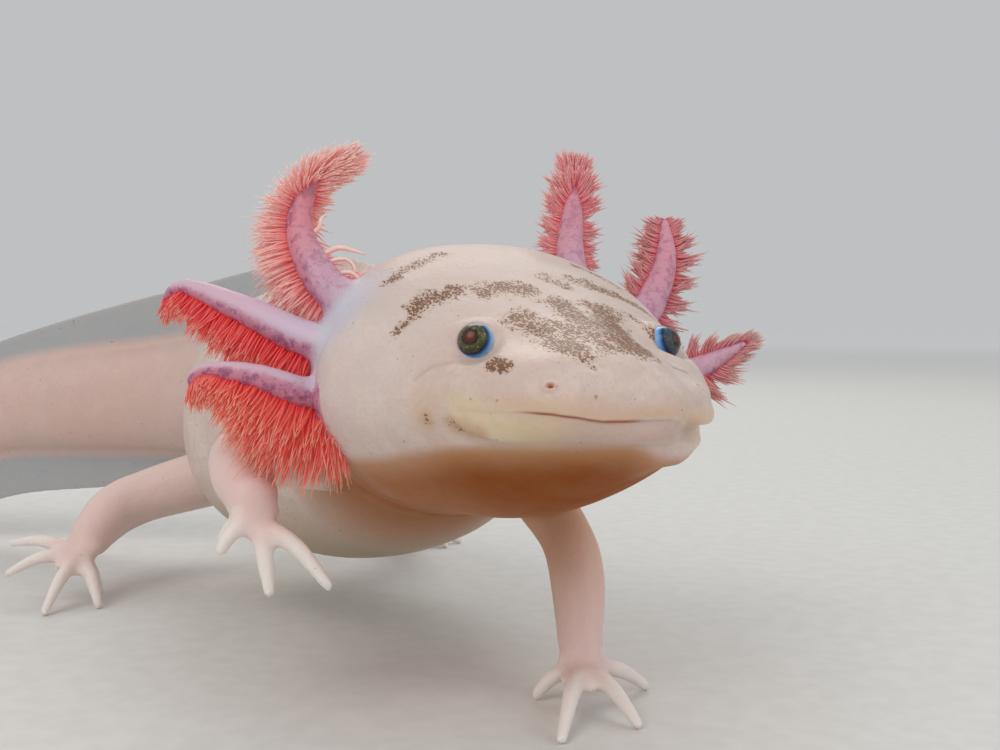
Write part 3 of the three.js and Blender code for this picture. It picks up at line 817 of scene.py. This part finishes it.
class Wire:
    """A socket in a material. Sums on it add Math nodes, and node() adds any other node."""

    def __init__(self, tree, socket=None):
        self.tree = tree
        self.socket = socket

    def node(self, kind, settings, inputs, output=0):
        made = self.tree.nodes.new("ShaderNode" + kind)
        for name, value in settings.items():
            if name == "stops":
                ramp = made.color_ramp
                while len(ramp.elements) < len(value):
                    ramp.elements.new(0.5)
                for element, (position, colour) in zip(ramp.elements, value):
                    element.position = position
                    element.color = colour
            else:
                setattr(made, name, value)
        for name, value in inputs.items():
            if isinstance(value, Wire):
                self.tree.links.new(value.socket, made.inputs[name])
            else:
                made.inputs[name].default_value = value
        return Wire(self.tree, made.outputs[output])

    def maths(self, operation, *values):
        return self.node("Math", {"operation": operation}, dict(enumerate(values)))

    def __add__(self, other):
        return self.maths("ADD", self, other)

    __radd__ = __add__

    def __sub__(self, other):
        return self.maths("SUBTRACT", self, other)

    def __rsub__(self, other):
        return self.maths("SUBTRACT", other, self)

    def __mul__(self, other):
        return self.maths("MULTIPLY", self, other)

    __rmul__ = __mul__

    def ramp(self, low, high):
        """0 below low, 1 above high, smooth between."""
        limits = {"From Min": low, "From Max": high}
        return self.node("MapRange", {"interpolation_type": "SMOOTHSTEP"}, {"Value": self, **limits})

    def mix(self, colour, other):
        """colour where this is 0, other where it is 1."""
        return self.node("Mix", {"data_type": "RGBA"}, {0: self, 6: colour, 7: other}, 2)

    def noise(self, place, scale, detail=2.0, roughness=0.5):
        inputs = {"Vector": place, "Scale": scale, "Detail": detail, "Roughness": roughness}
        return self.node("TexNoise", {}, inputs)

    def attribute(self, name):
        return self.node("Attribute", {"attribute_name": name}, {}, 2)

    def into(self, surface, name):
        """Feeds this to a socket of a surface."""
        self.tree.links.new(self.socket, surface.inputs[name])


def material(name, **constants):
    """A material with a plain surface, as (material, wire, surface)."""
    made = bpy.data.materials.new(name)
    made.use_nodes = True
    surface = made.node_tree.nodes["Principled BSDF"]
    for socket, value in constants.items():
        surface.inputs[socket.replace("_", " ")].default_value = value
    return made, Wire(made.node_tree), surface


def paint(mesh, name, values):
    layer = mesh.attributes.new(name, "FLOAT", "POINT")
    layer.data.foreach_set("value", np.asarray(values, np.float32))


FRECKLES = [  # clusters of brown grains on the crown and cheek: from, to, half width, strength
    ((-29.2, -13.6, 46.6), (-31.6, -7.1, 49.7), 0.9, 0.9),
    ((-22.6, -13, 44), (-22.5, -9.2, 45.4), 1.1, 0.95),
    ((-21.2, -6.0, 45.6), (-20.6, -1.8, 46.0), 1.35, 1.05),
    ((-23.3, 2.1, 46.9), (-21, 3.3, 45.8), 0.9, 0.8),
    ((-23.3, 6, 46.6), (-22.4, 7.9, 45.8), 1.2, 0.9),
    ((-22.4, 7.9, 45.8), (-21.3, 12.9, 43.4), 1.0, 0.95),
    ((-14.4, -5.7, 43.2), (-11.2, -4.2, 42.3), 1.5, 1.0),
    ((-17.2, -0.3, 44.4), (-13.8, 0.1, 43.2), 1.4, 1.0),
    ((-13.8, 0.1, 43.2), (-8.4, -0.4, 41.6), 1.6, 1.0),
    ((-16.1, 4.3, 43.7), (-11.1, 2.7, 42.2), 1.5, 1.15),
    ((-11.1, 2.7, 42.2), (-5.8, 2.0, 40.6), 1.7, 1.3),
    ((-8.4, -5.2, 41.1), (-4.9, -4.2, 40.0), 1.4, 1.0),
    ((-9.6, -2.6, 41.6), (-6.2, -1.2, 40.6), 1.4, 1.0),
    ((-22, -16.1, 41.2), (-21.6, -14.4, 42.6), 0.5, 0.85),
    ((-8.8, -11.2, 38.8), (-7.8, -10.9, 38.6), 0.66, 1.5),
    ((-26, 12, 46), (-29, 9, 48.6), 0.9, 0.75),
    ((-12, 9, 42), (-16, 8, 44), 0.8, 0.75),
    ((-45, 3, 50.6), (-47, 4.5, 50), 1.2, 0.65),
    ((-53, -6, 49.2), (-54, -4, 49.4), 0.9, 0.6),
    ((-15.2, -15.5, 33.4), (-15.0, -15.4, 33.0), 0.55, 0.62),
    ((-12.0, -14.1, 32.9), (-11.2, -13.8, 32.6), 0.6, 0.6),
]

SMUDGES = [  # faint warm patches at the mouth's right corner: where, how far it reaches
    ((-15.1, -15.5, 33.2), 1.5),
    ((-12.0, -14.1, 32.9), 1.8),
    ((-10.3, -13.5, 32.5), 1.9),
    ((-8.6, -12.9, 32.2), 1.7),
    ((-21.6, -15.2, 28.6), 1.4),
]

s, left = on_backbone(surface)
z = surface[:, 2]
outside = beyond_body(surface)
legs, toes, stalks = np.zeros(len(s)), np.zeros(len(s)), np.zeros(len(s))
for line in leg_lines.values():
    gap, share = near_line(surface, line, 8)
    leaves = np.argmax(beyond_body(line) > 1.0) / len(line)
    past_root = smooth((share - leaves + 0.16) / 0.3) * smooth((outside - 0.98) / 0.25)
    legs = np.maximum(legs, (gap < 6) * past_root)
for line in toe_lines:
    gap, share = near_line(surface, line, 4)
    toes = np.maximum(toes, (gap < 2.2) * share)
legs = np.maximum(legs, smooth(toes / 0.1))
wrists = sum(near(surface, np.array(leg["joints"][-1]), 7) for leg in LEGS.values())
stalk_backs, stalk_tips = np.zeros(len(s)), np.zeros(len(s))
for name, gill in GILLS.items():
    line = stalk_lines[name]
    gap, share = near_line(surface, line, 6, 1)
    amount = (gap < 4) * share * smooth((outside - 0.95) / 0.2)
    offset = surface - line[np.round(share * (len(line) - 1)).astype(int)]
    behind = offset @ np.array(gill["back"]) / np.maximum(gap, 0.1)
    stalks = np.maximum(stalks, amount)
    marbled = np.maximum(smooth((behind + 0.7) / 0.5), gill["marbled"])
    stalk_backs = np.maximum(stalk_backs, smooth(amount / 0.2) * marbled)
    stalk_tips = np.maximum(stalk_tips, gill["flush"] * smooth((amount - 0.12) / 0.5))

trunk = np.where((s < 22) & (z > 15), 1, 1 - smooth((outside - 1.05) / 0.3))
jaw_line = np.interp(s, (0, 6, 14, 24, 44), (32.2, 32, 31.3, 29.4, 26.6))  # the throat is painted tan below it: partly its own orange skin, partly painted shade under the jaw
jaw_line -= 1.7 * smooth((left + 2) / 6) * (1 - smooth((s - 6) / 8))
front_of_chest = (1 - smooth((s - 44) / 14)) * trunk
jaw_shade = smooth((jaw_line - z) / 1.6) * front_of_chest
# painted shade: the throat darkens to orange-brown further under the jaw, on top of its own orange
under = smooth((jaw_line - z) / 4) * front_of_chest
lip_gap = beside_both(LIP_BORDER, surface)[1]
lobe = smooth((s - 5) / 6)  # the pale lip widens to a lobe at the mouth's corner
lips = bump(lip_gap - 1.3 - lobe, 1.8 + 0.5 * lobe) * (1 - smooth((s - 10) / 5))
lips *= smooth((np.abs(left) - 4) / 7) * (1 - smooth((z - 34.8) / 2.4))
collar = sum(near(surface, np.array(gill["stalk"][0]), 8) for gill in GILLS.values())
above_back = smooth((z - top(s) - 0.3) / 2.5) * (s > 58)
below_tail = smooth((bottom(s) - z - 0.1) / 2) * (s > VENTRAL_STARTS)
fins = np.clip(above_back * smooth((s - 70) / 50) + below_tail + smooth((s - 196) / 24), 0, 1)
# painted shade: the underside of the trunk is darker and yellower towards the bottom
belly = trunk * smooth((22 - z) / 12) * smooth((s - 44) / 14) * (1 - smooth((s - 110) / 20))
freckles = np.zeros(len(s))
for start, end, width, strength in FRECKLES:
    line = np.linspace(start, end, 12)
    flatter = (1, 1, 0.4 if start[2] > 39 else 1)  # crown clusters lie on the hollowed skin below them
    gap, _ = near_line(surface * flatter, line * flatter, 4, 1)
    freckles = np.maximum(freckles, strength * np.clip(1.2 - gap / (width * 1.9), 0, 1))
mouth_gap, mouth_above = beside_both(MOUTH, surface)
lower_lip = smooth(0.5 - mouth_above / 0.4) * smooth(0.5 + lip_gap / 0.6) * (1 - smooth((s - 3) / 4))
# painted shade on the upper lip near the mouth line, where it overhangs the slit
upper_lip = bump(mouth_gap, 1.4) * smooth(mouth_above / 0.5) * (1 - smooth((s - 3) / 9))
# painted shade: a dark line in the open front of the mouth's slit
slit = bump(mouth_gap, 0.13) * (s < 8) * smooth((left + 11.2) / 2) * (1 - smooth((left + 2.4) / 2.5))
# painted shade in the nostril pits
pits = sum(bump(np.linalg.norm((surface - surface[at]) * (1, 1, 1.6), axis=1), 0.52) for at in nostrils)
# painted shade in the fold under each eye and along the mouth line
folds = bump(beside(EYE_CREASE, s, z)[0], 0.2) * (s < 19) * (np.abs(left) > 7)
folds = folds + 0.6 * bump(mouth_gap, 0.3) * (s < 11)
smudges = sum(near(surface, np.array(place), size) for place, size in SMUDGES)
elbow = near(surface, np.array((-36, 9.5, 17)), 17)  # of the left foreleg: the throat's tan carried on, and painted shade where it lies under the head
# painted light: the temples are lightened where the head's sides fall in shade
temples = near(np.abs(surface), np.array((25, 15, 38)), 13)
lip_corners = near(np.abs(surface), np.array((15.5, 15.6, 34.2)), 4)

TONES = {  # name: (how much of it where, its colour)
    "blood_in_tail": (smooth((s - 100) / 30) * 0.6, (0.68, 0.46, 0.41, 1)),
    # belly: painted shade under the trunk
    "belly": (belly, (0.46, 0.37, 0.26, 1)),
    # crown: painted shade, darkening the top of the head where the lamp above lights it most
    "crown": (smooth((z - 40.5) / 4) * (1 - smooth((s - 40) / 20)) * 0.35, (0.56, 0.46, 0.41, 1)),
    "legs": (legs, (0.79, 0.60, 0.55, 1)),
    "wrists": (legs * np.clip(wrists, 0, 1) * 0.55, (0.78, 0.53, 0.51, 1)),
    # elbow: painted shade on the left foreleg under the head, in the throat's tan
    "elbow": (legs * elbow, (0.68, 0.38, 0.235, 1)),
    "toes": (smooth(toes / 0.55), (0.86, 0.78, 0.735, 1)),
    "fins": (fins * (1 - legs) * 0.9, (0.38, 0.425, 0.44, 1)),
    # jaw: a tan band under the lip line, partly the skin's own orange and partly painted shade under the jaw
    "jaw": (jaw_shade * 0.85, (0.53, 0.235, 0.075, 1)),
    # throat: partly the skin's own orange, partly painted shade under the head
    "throat": (under * (0.97 - 0.4 * smooth((s - 12) / 16)), (0.29, 0.072, 0.006, 1)),
    "lower_lip": (lower_lip * 0.6, (0.52, 0.345, 0.29, 1)),
    # upper lip: painted shade along the mouth line
    "upper_lip": (upper_lip * 0.75, (0.66, 0.42, 0.27, 1)),
    "lip_corners": (0.45 * lip_corners, (0.66, 0.45, 0.28, 1)),
    "lips": (lips * 0.75, (0.72, 0.58, 0.36, 1)),
    # temples: painted light on the sides of the head
    "temples": (0.5 * temples, (0.74, 0.68, 0.65, 1)),
    "collar": (np.clip(1.3 * collar, 0, 1) * 0.7, (0.60, 0.63, 0.76, 1)),
    "stalks": (smooth(stalks / 0.25) * 0.92, (0.66, 0.52, 0.66, 1)),
    "stalk_backs": (stalk_backs * 0.95, (0.54, 0.21, 0.31, 1)),
    "stalk_tips": (stalk_tips * 0.85, (0.72, 0.26, 0.29, 1)),
    "smudges": (0.65 * np.clip(smudges, 0, 1), (0.52, 0.30, 0.17, 1)),
    # folds: painted shade in the creases
    "folds": (np.clip(folds, 0, 1) * 0.25, (0.45, 0.26, 0.18, 1)),
    # crease: painted shade along the fine crease below the left eye
    "crease": (crease * 0.8, (0.26, 0.15, 0.12, 1)),
    # pits: painted shade inside the nostrils
    "pits": (np.clip(pits, 0, 1), (0.50, 0.17, 0.06, 1)),
    # slit: painted shade in the gap between the lips
    "slit": (slit * 0.95, (0.45, 0.13, 0.05, 1)),
}
skin_finish, wire, skin_surface = material(
    "wet_skin",
    Subsurface_Weight=0.22,
    Subsurface_Radius=(1.0, 0.42, 0.30),
    Subsurface_Scale=0.0016,
    Coat_Weight=0.12,
    Coat_Roughness=0.2,
    IOR=1.3,
)
place = wire.node("TexCoord", {}, {}, 3)
mottle = wire.noise(place, 260, 4, 0.6)
cloud = wire.noise(place, 55, 3, 0.5)
colour = mottle.ramp(0.35, 0.7).mix((0.65, 0.515, 0.455, 1), (0.73, 0.605, 0.54, 1))
colour = (cloud.ramp(0.42, 0.66) * 0.5).mix(colour, (0.70, 0.51, 0.445, 1))
colour = (wire.noise(place, 1500, 4, 0.7).ramp(0.42, 0.66) * 0.4).mix(colour, (0.60, 0.44, 0.385, 1))
for name, (amount, tone) in TONES.items():
    paint(skin.data, name, amount)
    colour = (wire.attribute(name) * (0.84 + 0.3 * mottle)).mix(colour, tone)
paint(skin.data, "freckles", freckles)
veins = wire.noise(place, 700, 4, 0.75).ramp(0.47, 0.6)
colour = (veins * wire.attribute("stalk_backs") * 0.85).mix(colour, (0.30, 0.085, 0.20, 1))
lengthwise = wire.node("VectorMath", {"operation": "MULTIPLY"}, {0: place, 1: (0.5, 1, 1)})
ragged = wire.attribute("freckles") + (wire.noise(lengthwise, 620, 5, 0.78) - 0.5) * 2.5
grains = wire.noise(lengthwise, 4300, 1.5, 0.6)
dots = wire.noise(place, 1900, 0, 0.5).ramp(0.825, 0.845) * (1 - wire.attribute("legs"))
cover = ragged.ramp(0.2, 1.2)
cores = (grains + 0.2 * cover).ramp(0.58, 0.66) * cover.ramp(0.05, 0.3)
colour = (cover * 0.55).mix(colour, (0.47, 0.30, 0.15, 1))
colour = (cores * 0.85).mix(colour, (0.155, 0.045, 0.012, 1))
colour = (dots * 0.5).mix(colour, (0.25, 0.15, 0.12, 1))
colour.into(skin_surface, "Base Color")
gloss = 0.38 + 0.16 * mottle + 0.25 * wire.attribute("throat") + 0.15 * wire.attribute("crown")
gloss.into(skin_surface, "Roughness")
wet = 0.14 * (1 - wire.attribute("throat")) * (1 - 0.8 * wire.attribute("crown"))
wet.into(skin_surface, "Coat Weight")
pores = wire.noise(place, 1900, 2, 0.6) + 1.4 * wire.noise(place, 420, 2, 0.5)
wire.node("Bump", {}, {"Strength": 0.4, "Distance": 0.0002, "Height": pores}).into(skin_surface, "Normal")
skin.data.materials.clear()
skin.data.materials.append(skin_finish)

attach(skin, "root")
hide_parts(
    *["head", "lower_jaw", "chest", "belly", "tail_base", "tail_middle", "tail_tip"],
    *["dorsal_fin_back", "dorsal_fin_tail", "ventral_fin"],
    *[f"{leg}_{part}" for leg in LEGS for part in ("upper", "lower", "foot")],
    *[f"{gill}_stalk" for gill in GILLS],
)


# ---- eyes ----
# Each eye is a small lidless ball with a clear wet front: a dark pupil with a painted red-brown reflection in
# its middle, in a dark iris flecked with gold, inside a navy ring and a bright blue one. The left iris has a
# bluer, duller shine.

CORNEA = 0.05  # the front swells by this share
IRIS = {  # side: (the painted reflection in the pupil's middle, the iris near it, the iris further out, how many gold flecks)
    "right": ((0.20, 0.035, 0.022, 1), (0.07, 0.08, 0.03, 1), (0.035, 0.045, 0.028, 1), 0.6),
    "left": ((0.15, 0.03, 0.05, 1), (0.05, 0.065, 0.08, 1), (0.04, 0.065, 0.10, 1), 0.25),
}
FULL_RAMP = 1.6  # radians from the pupil's middle to the end of the colour ramp

for side, look in looks.items():
    theta = np.linspace(0, np.pi, 60)
    around = np.linspace(0, 2 * np.pi, 72, endpoint=False)
    across = np.cross(look, (0, 0, 1))
    across /= np.linalg.norm(across)
    upward = np.cross(across, look)
    swell = 1 + CORNEA * bump(theta, 0.7)
    rings = []
    for angle, grown in zip(theta[1:-1], swell[1:-1]):
        spoke = np.cos(around)[:, None] * across + np.sin(around)[:, None] * upward
        rings.append(eyes[side] + EYE_SIZE * grown * (math.cos(angle) * look + math.sin(angle) * spoke))
    eye = mesh_of("eye_ball_" + side, *loft(rings))

    finish, wire, eye_surface = material("eye_" + side, Coat_Weight=0.25, Coat_Roughness=0.1, IOR=1.3)
    place = wire.node("TexCoord", {}, {}, 3)
    centre = tuple(float(v) for v in (eyes[side] + origin) * MM)
    ray = wire.node("VectorMath", {"operation": "SUBTRACT"}, {0: place, 1: centre})
    ray = wire.node("VectorMath", {"operation": "NORMALIZE"}, {0: ray})
    forward = tuple(float(v) for v in look)
    facing = wire.node("VectorMath", {"operation": "DOT_PRODUCT"}, {0: ray, 1: forward}, 1)
    wobble = (wire.noise(place, 1400, 2, 0.6) - 0.5) * 0.05
    angle = wire.maths("ARCCOSINE", facing) + wobble
    pupil_reflection_tint, inner_tint, outer_tint, fleck_amount = IRIS[side]
    stops = [
        # the painted reflection in the pupil's middle, fading into the dark pupil
        (0.0, pupil_reflection_tint),
        (0.19, (0.08, 0.02, 0.014, 1)),
        (0.27, (0.012, 0.013, 0.011, 1)),
        (0.34, inner_tint),
        (0.55, outer_tint),
        (0.63, (0.007, 0.011, 0.03, 1)),
        (0.69, (0.02, 0.10, 0.30, 1)),
        (0.77, (0.08, 0.33, 0.74, 1)),
        (0.92, (0.36, 0.58, 0.82, 1)),
    ]
    iris = wire.node("ValToRGB", {"stops": stops}, {0: angle * (1 / FULL_RAMP)})
    in_iris = angle.ramp(0.3, 0.55) * (1 - angle.ramp(0.85, 1.0))
    flecks = wire.noise(place, 3800, 2, 0.7).ramp(0.52, 0.66) * in_iris
    (flecks * fleck_amount).mix(iris, (0.38, 0.31, 0.08, 1)).into(eye_surface, "Base Color")
    (0.12 + 0.2 * wire.noise(place, 2600, 2, 0.5)).into(eye_surface, "Roughness")
    eye.data.materials.append(finish)
    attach(eye, "root")
    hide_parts("eye_" + side)


# ---- gill filaments ----
# Each stalk carries a fringe of soft blood-red filaments on its rear side, in rows up to its two flanks.
# Every filament is a slender tapering thread with a pale tip, and neighbours lie in small groups.

FILAMENT_WIDTH = 0.135  # half the thickness at the root
LOOSE_WIDTH = 2.2  # the loose curled ones in front are this much thicker
RINGS, SIDES = 9, 5  # of one filament's mesh
ROWS, PER_ROW = 7, 118  # rows on each flank of a stalk
SUNK = 0.3  # each root starts this far under the stalk's skin
SAG = 0.07  # the tip hangs by this share of the length
PATCH = 0.003  # width of one filament's place on the bake map
FILAMENT_TINTS = {  # gill: (at the root, in the middle, at the tip, strength of a painted glow, as of light shining through)
    "gill_right_upper": ((0.84, 0.20, 0.20, 1), (0.85, 0.41, 0.38, 1), (0.88, 0.62, 0.56, 1), 0.1),
    "gill_right_middle": ((0.78, 0.035, 0.04, 1), (0.80, 0.09, 0.085, 1), (0.86, 0.33, 0.27, 1), 0.1),
    "gill_right_lower": ((0.80, 0.06, 0.06, 1), (0.82, 0.135, 0.105, 1), (0.85, 0.34, 0.26, 1), 0.1),
    "gill_left_upper": ((0.80, 0.19, 0.22, 1), (0.76, 0.27, 0.28, 1), (0.74, 0.42, 0.39, 1), 0.08),
    "gill_left_middle": ((0.72, 0.16, 0.19, 1), (0.66, 0.25, 0.25, 1), (0.66, 0.38, 0.34, 1), 0.05),
    "gill_left_lower": ((0.72, 0.16, 0.19, 1), (0.66, 0.25, 0.25, 1), (0.66, 0.38, 0.34, 1), 0.05),
}
filament_finish = {}
for name, (root_tint, middle_tint, tip_tint, glow) in FILAMENT_TINTS.items():
    finish, wire, filament_surface = material(
        name + "_filaments",
        Subsurface_Weight=0.3,
        Subsurface_Radius=(1.0, 0.35, 0.25),
        Subsurface_Scale=0.001,
        Coat_Weight=0.1,
        Coat_Roughness=0.3,
        Emission_Strength=glow,
    )
    along = wire.attribute("along")
    place = wire.node("TexCoord", {}, {}, 3)
    uneven = along + (wire.noise(place, 700, 2, 0.5) - 0.5) * 0.35
    tint = uneven.ramp(0.1, 0.55).mix(root_tint, middle_tint)
    tint = uneven.ramp(0.72, 1.0).mix(tint, tip_tint)
    tint.into(filament_surface, "Base Color")
    # painted light: the filaments glow a little in their own tint, filling the shade between them
    tint.into(filament_surface, "Emission Color")
    (0.34 + 0.2 * wire.noise(place, 900, 2, 0.5)).into(filament_surface, "Roughness")
    filament_finish[name] = finish

rng = np.random.default_rng(11)
filament_share = np.linspace(0, 1, RINGS)
point_share = np.concatenate([np.repeat(filament_share, SIDES), [0, 1]])
point_turn = np.concatenate([np.tile(np.arange(SIDES) / SIDES, RINGS), [0.5, 0.5]])
turns = 2 * np.pi * np.arange(SIDES)[None, :, None] / SIDES


def unit(vector):
    return vector / np.linalg.norm(vector)


def filament(root, out, along, across, length, drift, curl):
    """One thread from its root: it grows along out, and drifts along the stalk and curls across it."""
    share = filament_share
    sideways = np.outer(share**1.6 * drift, along) + np.outer(share**2 * curl, across)
    path = root + length * (np.outer(share, out) + sideways)
    path[:, 2] -= SAG * length * share**2
    return thread(path)


def thread(path, thicker=1.0):
    """A tapering closed tube along a path."""
    share = filament_share
    width = FILAMENT_WIDTH * thicker * (1 - 0.8 * share**2.4) * rng.uniform(0.85, 1.15)
    forward = np.gradient(path, axis=0)
    forward /= np.linalg.norm(forward, axis=1)[:, None]
    first = np.cross(forward, (0.31, 0.22, 0.93))
    first /= np.linalg.norm(first, axis=1)[:, None]
    second = np.cross(forward, first)
    spokes = np.cos(turns) * first[:, None] + np.sin(turns) * second[:, None]
    return loft(path[:, None] + spokes * width[:, None, None])


for name, gill in GILLS.items():
    line = stalk_lines[name]
    tangents = np.gradient(line, axis=0)
    right_side = "right" in name
    tufts, grouping = (11, 0.3) if right_side else (6, 0.75)
    bare, trim = gill["bare"] * 0.8, gill["trim"]
    threads = []  # (filament, share along the stalk, turn round it, 1 for a loose one)

    def add_thread(t, lean, length, drift, curl):
        """Adds one filament at a share of the stalk, leaning so far round it from its back."""
        at = int(round(t * (len(line) - 1)))
        along = unit(tangents[at])
        back = np.array(gill["back"], float)
        back = unit(back - along * (back @ along))
        across = np.cross(back, along)
        out = back * math.cos(lean) + across * math.sin(lean)
        root = line[at] + out * (stalk_width(t) - SUNK)
        made = filament(root, out, along, across, length, drift, curl)
        threads.append((made, t, lean / (2 * math.pi) % 1, 0))

    for sign in (1, -1):
        for row in range(ROWS):
            for i in range(PER_ROW):
                share = (i + rng.uniform(0, 0.9)) / PER_ROW
                t = bare + (1 - bare) * share
                fan = 1 + (gill["wrap"] - 1) * smooth((t - 0.62) / 0.25)
                lean = math.radians(gill["spread"]) * sign * (0.1 + 0.22 * row) * fan + rng.normal(0, 0.12)
                swell = math.sin(math.pi * (0.34 + 0.56 * share)) ** 0.8
                swell *= 1 - trim * smooth((t - 0.6) / 0.25)
                group = (share * tufts + row * 0.37 * right_side) % 1 - 0.5
                length = gill["reach"] * swell * rng.uniform(0.8, 1.2) * (1 - 0.07 * row)
                length *= 1.1 - (0.25 if right_side else 1.0) * abs(group)
                length *= 1 - gill.get("taper", 0) * smooth((share - 0.3) / 0.5)
                to_tip = 0.3 * share + 0.45 * (not right_side)
                to_tip += (1.1 + trim) * smooth((t - 0.84 + 0.3 * trim) / 0.25)
                drift = to_tip - grouping * group + rng.normal(0, 0.1)
                add_thread(t, lean, length, drift, rng.normal(0, 0.1) - 0.1 * math.sin(lean))
    for t, steps in gill.get("curls", ()):
        inner = np.array((0.44, 0.9, 0))
        at = line[int(t * (len(line) - 1))] + inner * (stalk_width(t) - SUNK)
        path = smooth_line([at + inner * step + (0, 0, up) for step, up in steps], RINGS)
        threads.append((thread(path, LOOSE_WIDTH), t, 0.5, 1))

    points, faces, maps = [], [], []
    start = 0
    for (some_points, some_faces), t, around, _ in threads:
        points.append(some_points)
        faces += [[k + start for k in face] for face in some_faces]
        start += len(some_points)
        patch = np.stack([point_share - 0.5, point_turn - 0.5], 1) * PATCH
        maps.append(patch + (0.02 + 0.96 * t, 0.02 + 0.96 * around))
    coat = mesh_of(name + "_filaments", np.vstack(points), faces)
    pale = np.repeat([0.95 * loose for *_, loose in threads], len(point_share))
    paint(coat.data, "along", np.maximum(np.tile(point_share, len(threads)), pale))
    corners = np.empty(len(coat.data.loops), np.int64)
    coat.data.loops.foreach_get("vertex_index", corners)
    bake_map = coat.data.uv_layers.new(name="OFBake")
    bake_map.data.foreach_set("uv", np.vstack(maps)[corners].ravel())
    coat.data.materials.append(filament_finish[name])
    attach(coat, "root")
    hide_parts(name + "_fringe_a", name + "_fringe_b")


# ---- floor ----
# The model stands on a plain pale floor of matt paint. It is wide enough to meet the pale surroundings,
# and whitens far out, so that its edge is lost in them.

FLOOR_WIDTH = 6.0
bpy.ops.mesh.primitive_circle_add(vertices=96, radius=FLOOR_WIDTH / 2, fill_type="NGON", location=(0, 0, 0))
floor = bpy.context.object
floor.name = "floor"
finish, wire, floor_surface = material("floor_paint")
place = wire.node("TexCoord", {}, {}, 3)
speckle = wire.noise(place, 300, 3, 0.5)
paint_tone = speckle.ramp(0.3, 0.7).mix((0.70, 0.69, 0.66, 1), (0.74, 0.73, 0.70, 1))
far = wire.node("VectorMath", {"operation": "LENGTH"}, {0: place}, 1)
far.ramp(0.5, 1.5).mix(paint_tone, (1, 1, 1, 1)).into(floor_surface, "Base Color")
(0.75 + 0.1 * speckle).into(floor_surface, "Roughness")
floor.data.materials.append(finish)


# ---- studio ----
# A large soft lamp above and before the head, a weaker one on its left and one behind give an even
# light. The view is low and close, a little above the eyes, from before the right side of the head.

LAMPS = {  # name: (place in metres, aims at, width, watts, colour)
    "key": ((0.30, -0.42, 0.50), (0.06, 0.0, 0.03), 0.45, 1.55, (1.0, 0.97, 0.93)),
    "fill": ((0.52, 0.42, 0.34), (0.06, 0.0, 0.03), 0.5, 0.8, (0.93, 0.96, 1.0)),
    "back": ((-0.45, 0.25, 0.55), (0.0, 0.0, 0.03), 0.4, 1.2, (1.0, 0.98, 0.94)),
}


def aim(thing, place, target):
    """Puts a thing at a place, facing a target."""
    thing.location = place
    x, y, z = np.array(target) - np.array(place)
    thing.rotation_euler = (math.pi / 2 + math.atan2(z, math.hypot(x, y)), 0, math.atan2(-x, y))


for name, (spot, target, width, watts, tint) in LAMPS.items():
    lamp = bpy.data.lights.new(name, "AREA")
    lamp.size = width
    lamp.energy = watts
    lamp.color = tint
    holder = bpy.data.objects.new(name, lamp)
    aim(holder, spot, target)
    holder.visible_camera = False
    bpy.context.scene.collection.objects.link(holder)

world = bpy.data.worlds.new("surroundings")
world.use_nodes = True
world.node_tree.nodes["Background"].inputs["Color"].default_value = (0.86, 0.88, 0.90, 1)
world.node_tree.nodes["Background"].inputs["Strength"].default_value = 0.6
bpy.context.scene.world = world
bpy.context.scene.view_settings.view_transform = "Standard"

CAMERA_PLACE = (99.69, -63.64, 44)  # from the snout's tip
CAMERA_TURN = (87, 0, 64)  # degrees

camera_data = bpy.data.cameras.new("camera")
camera_data.lens = 46.8
camera_data.sensor_width = 36
camera_data.clip_start = 0.005
camera = bpy.data.objects.new("camera", camera_data)
camera.location = (origin + CAMERA_PLACE) * MM
camera.rotation_euler = np.radians(CAMERA_TURN)
bpy.context.scene.collection.objects.link(camera)
bpy.context.scene.camera = camera
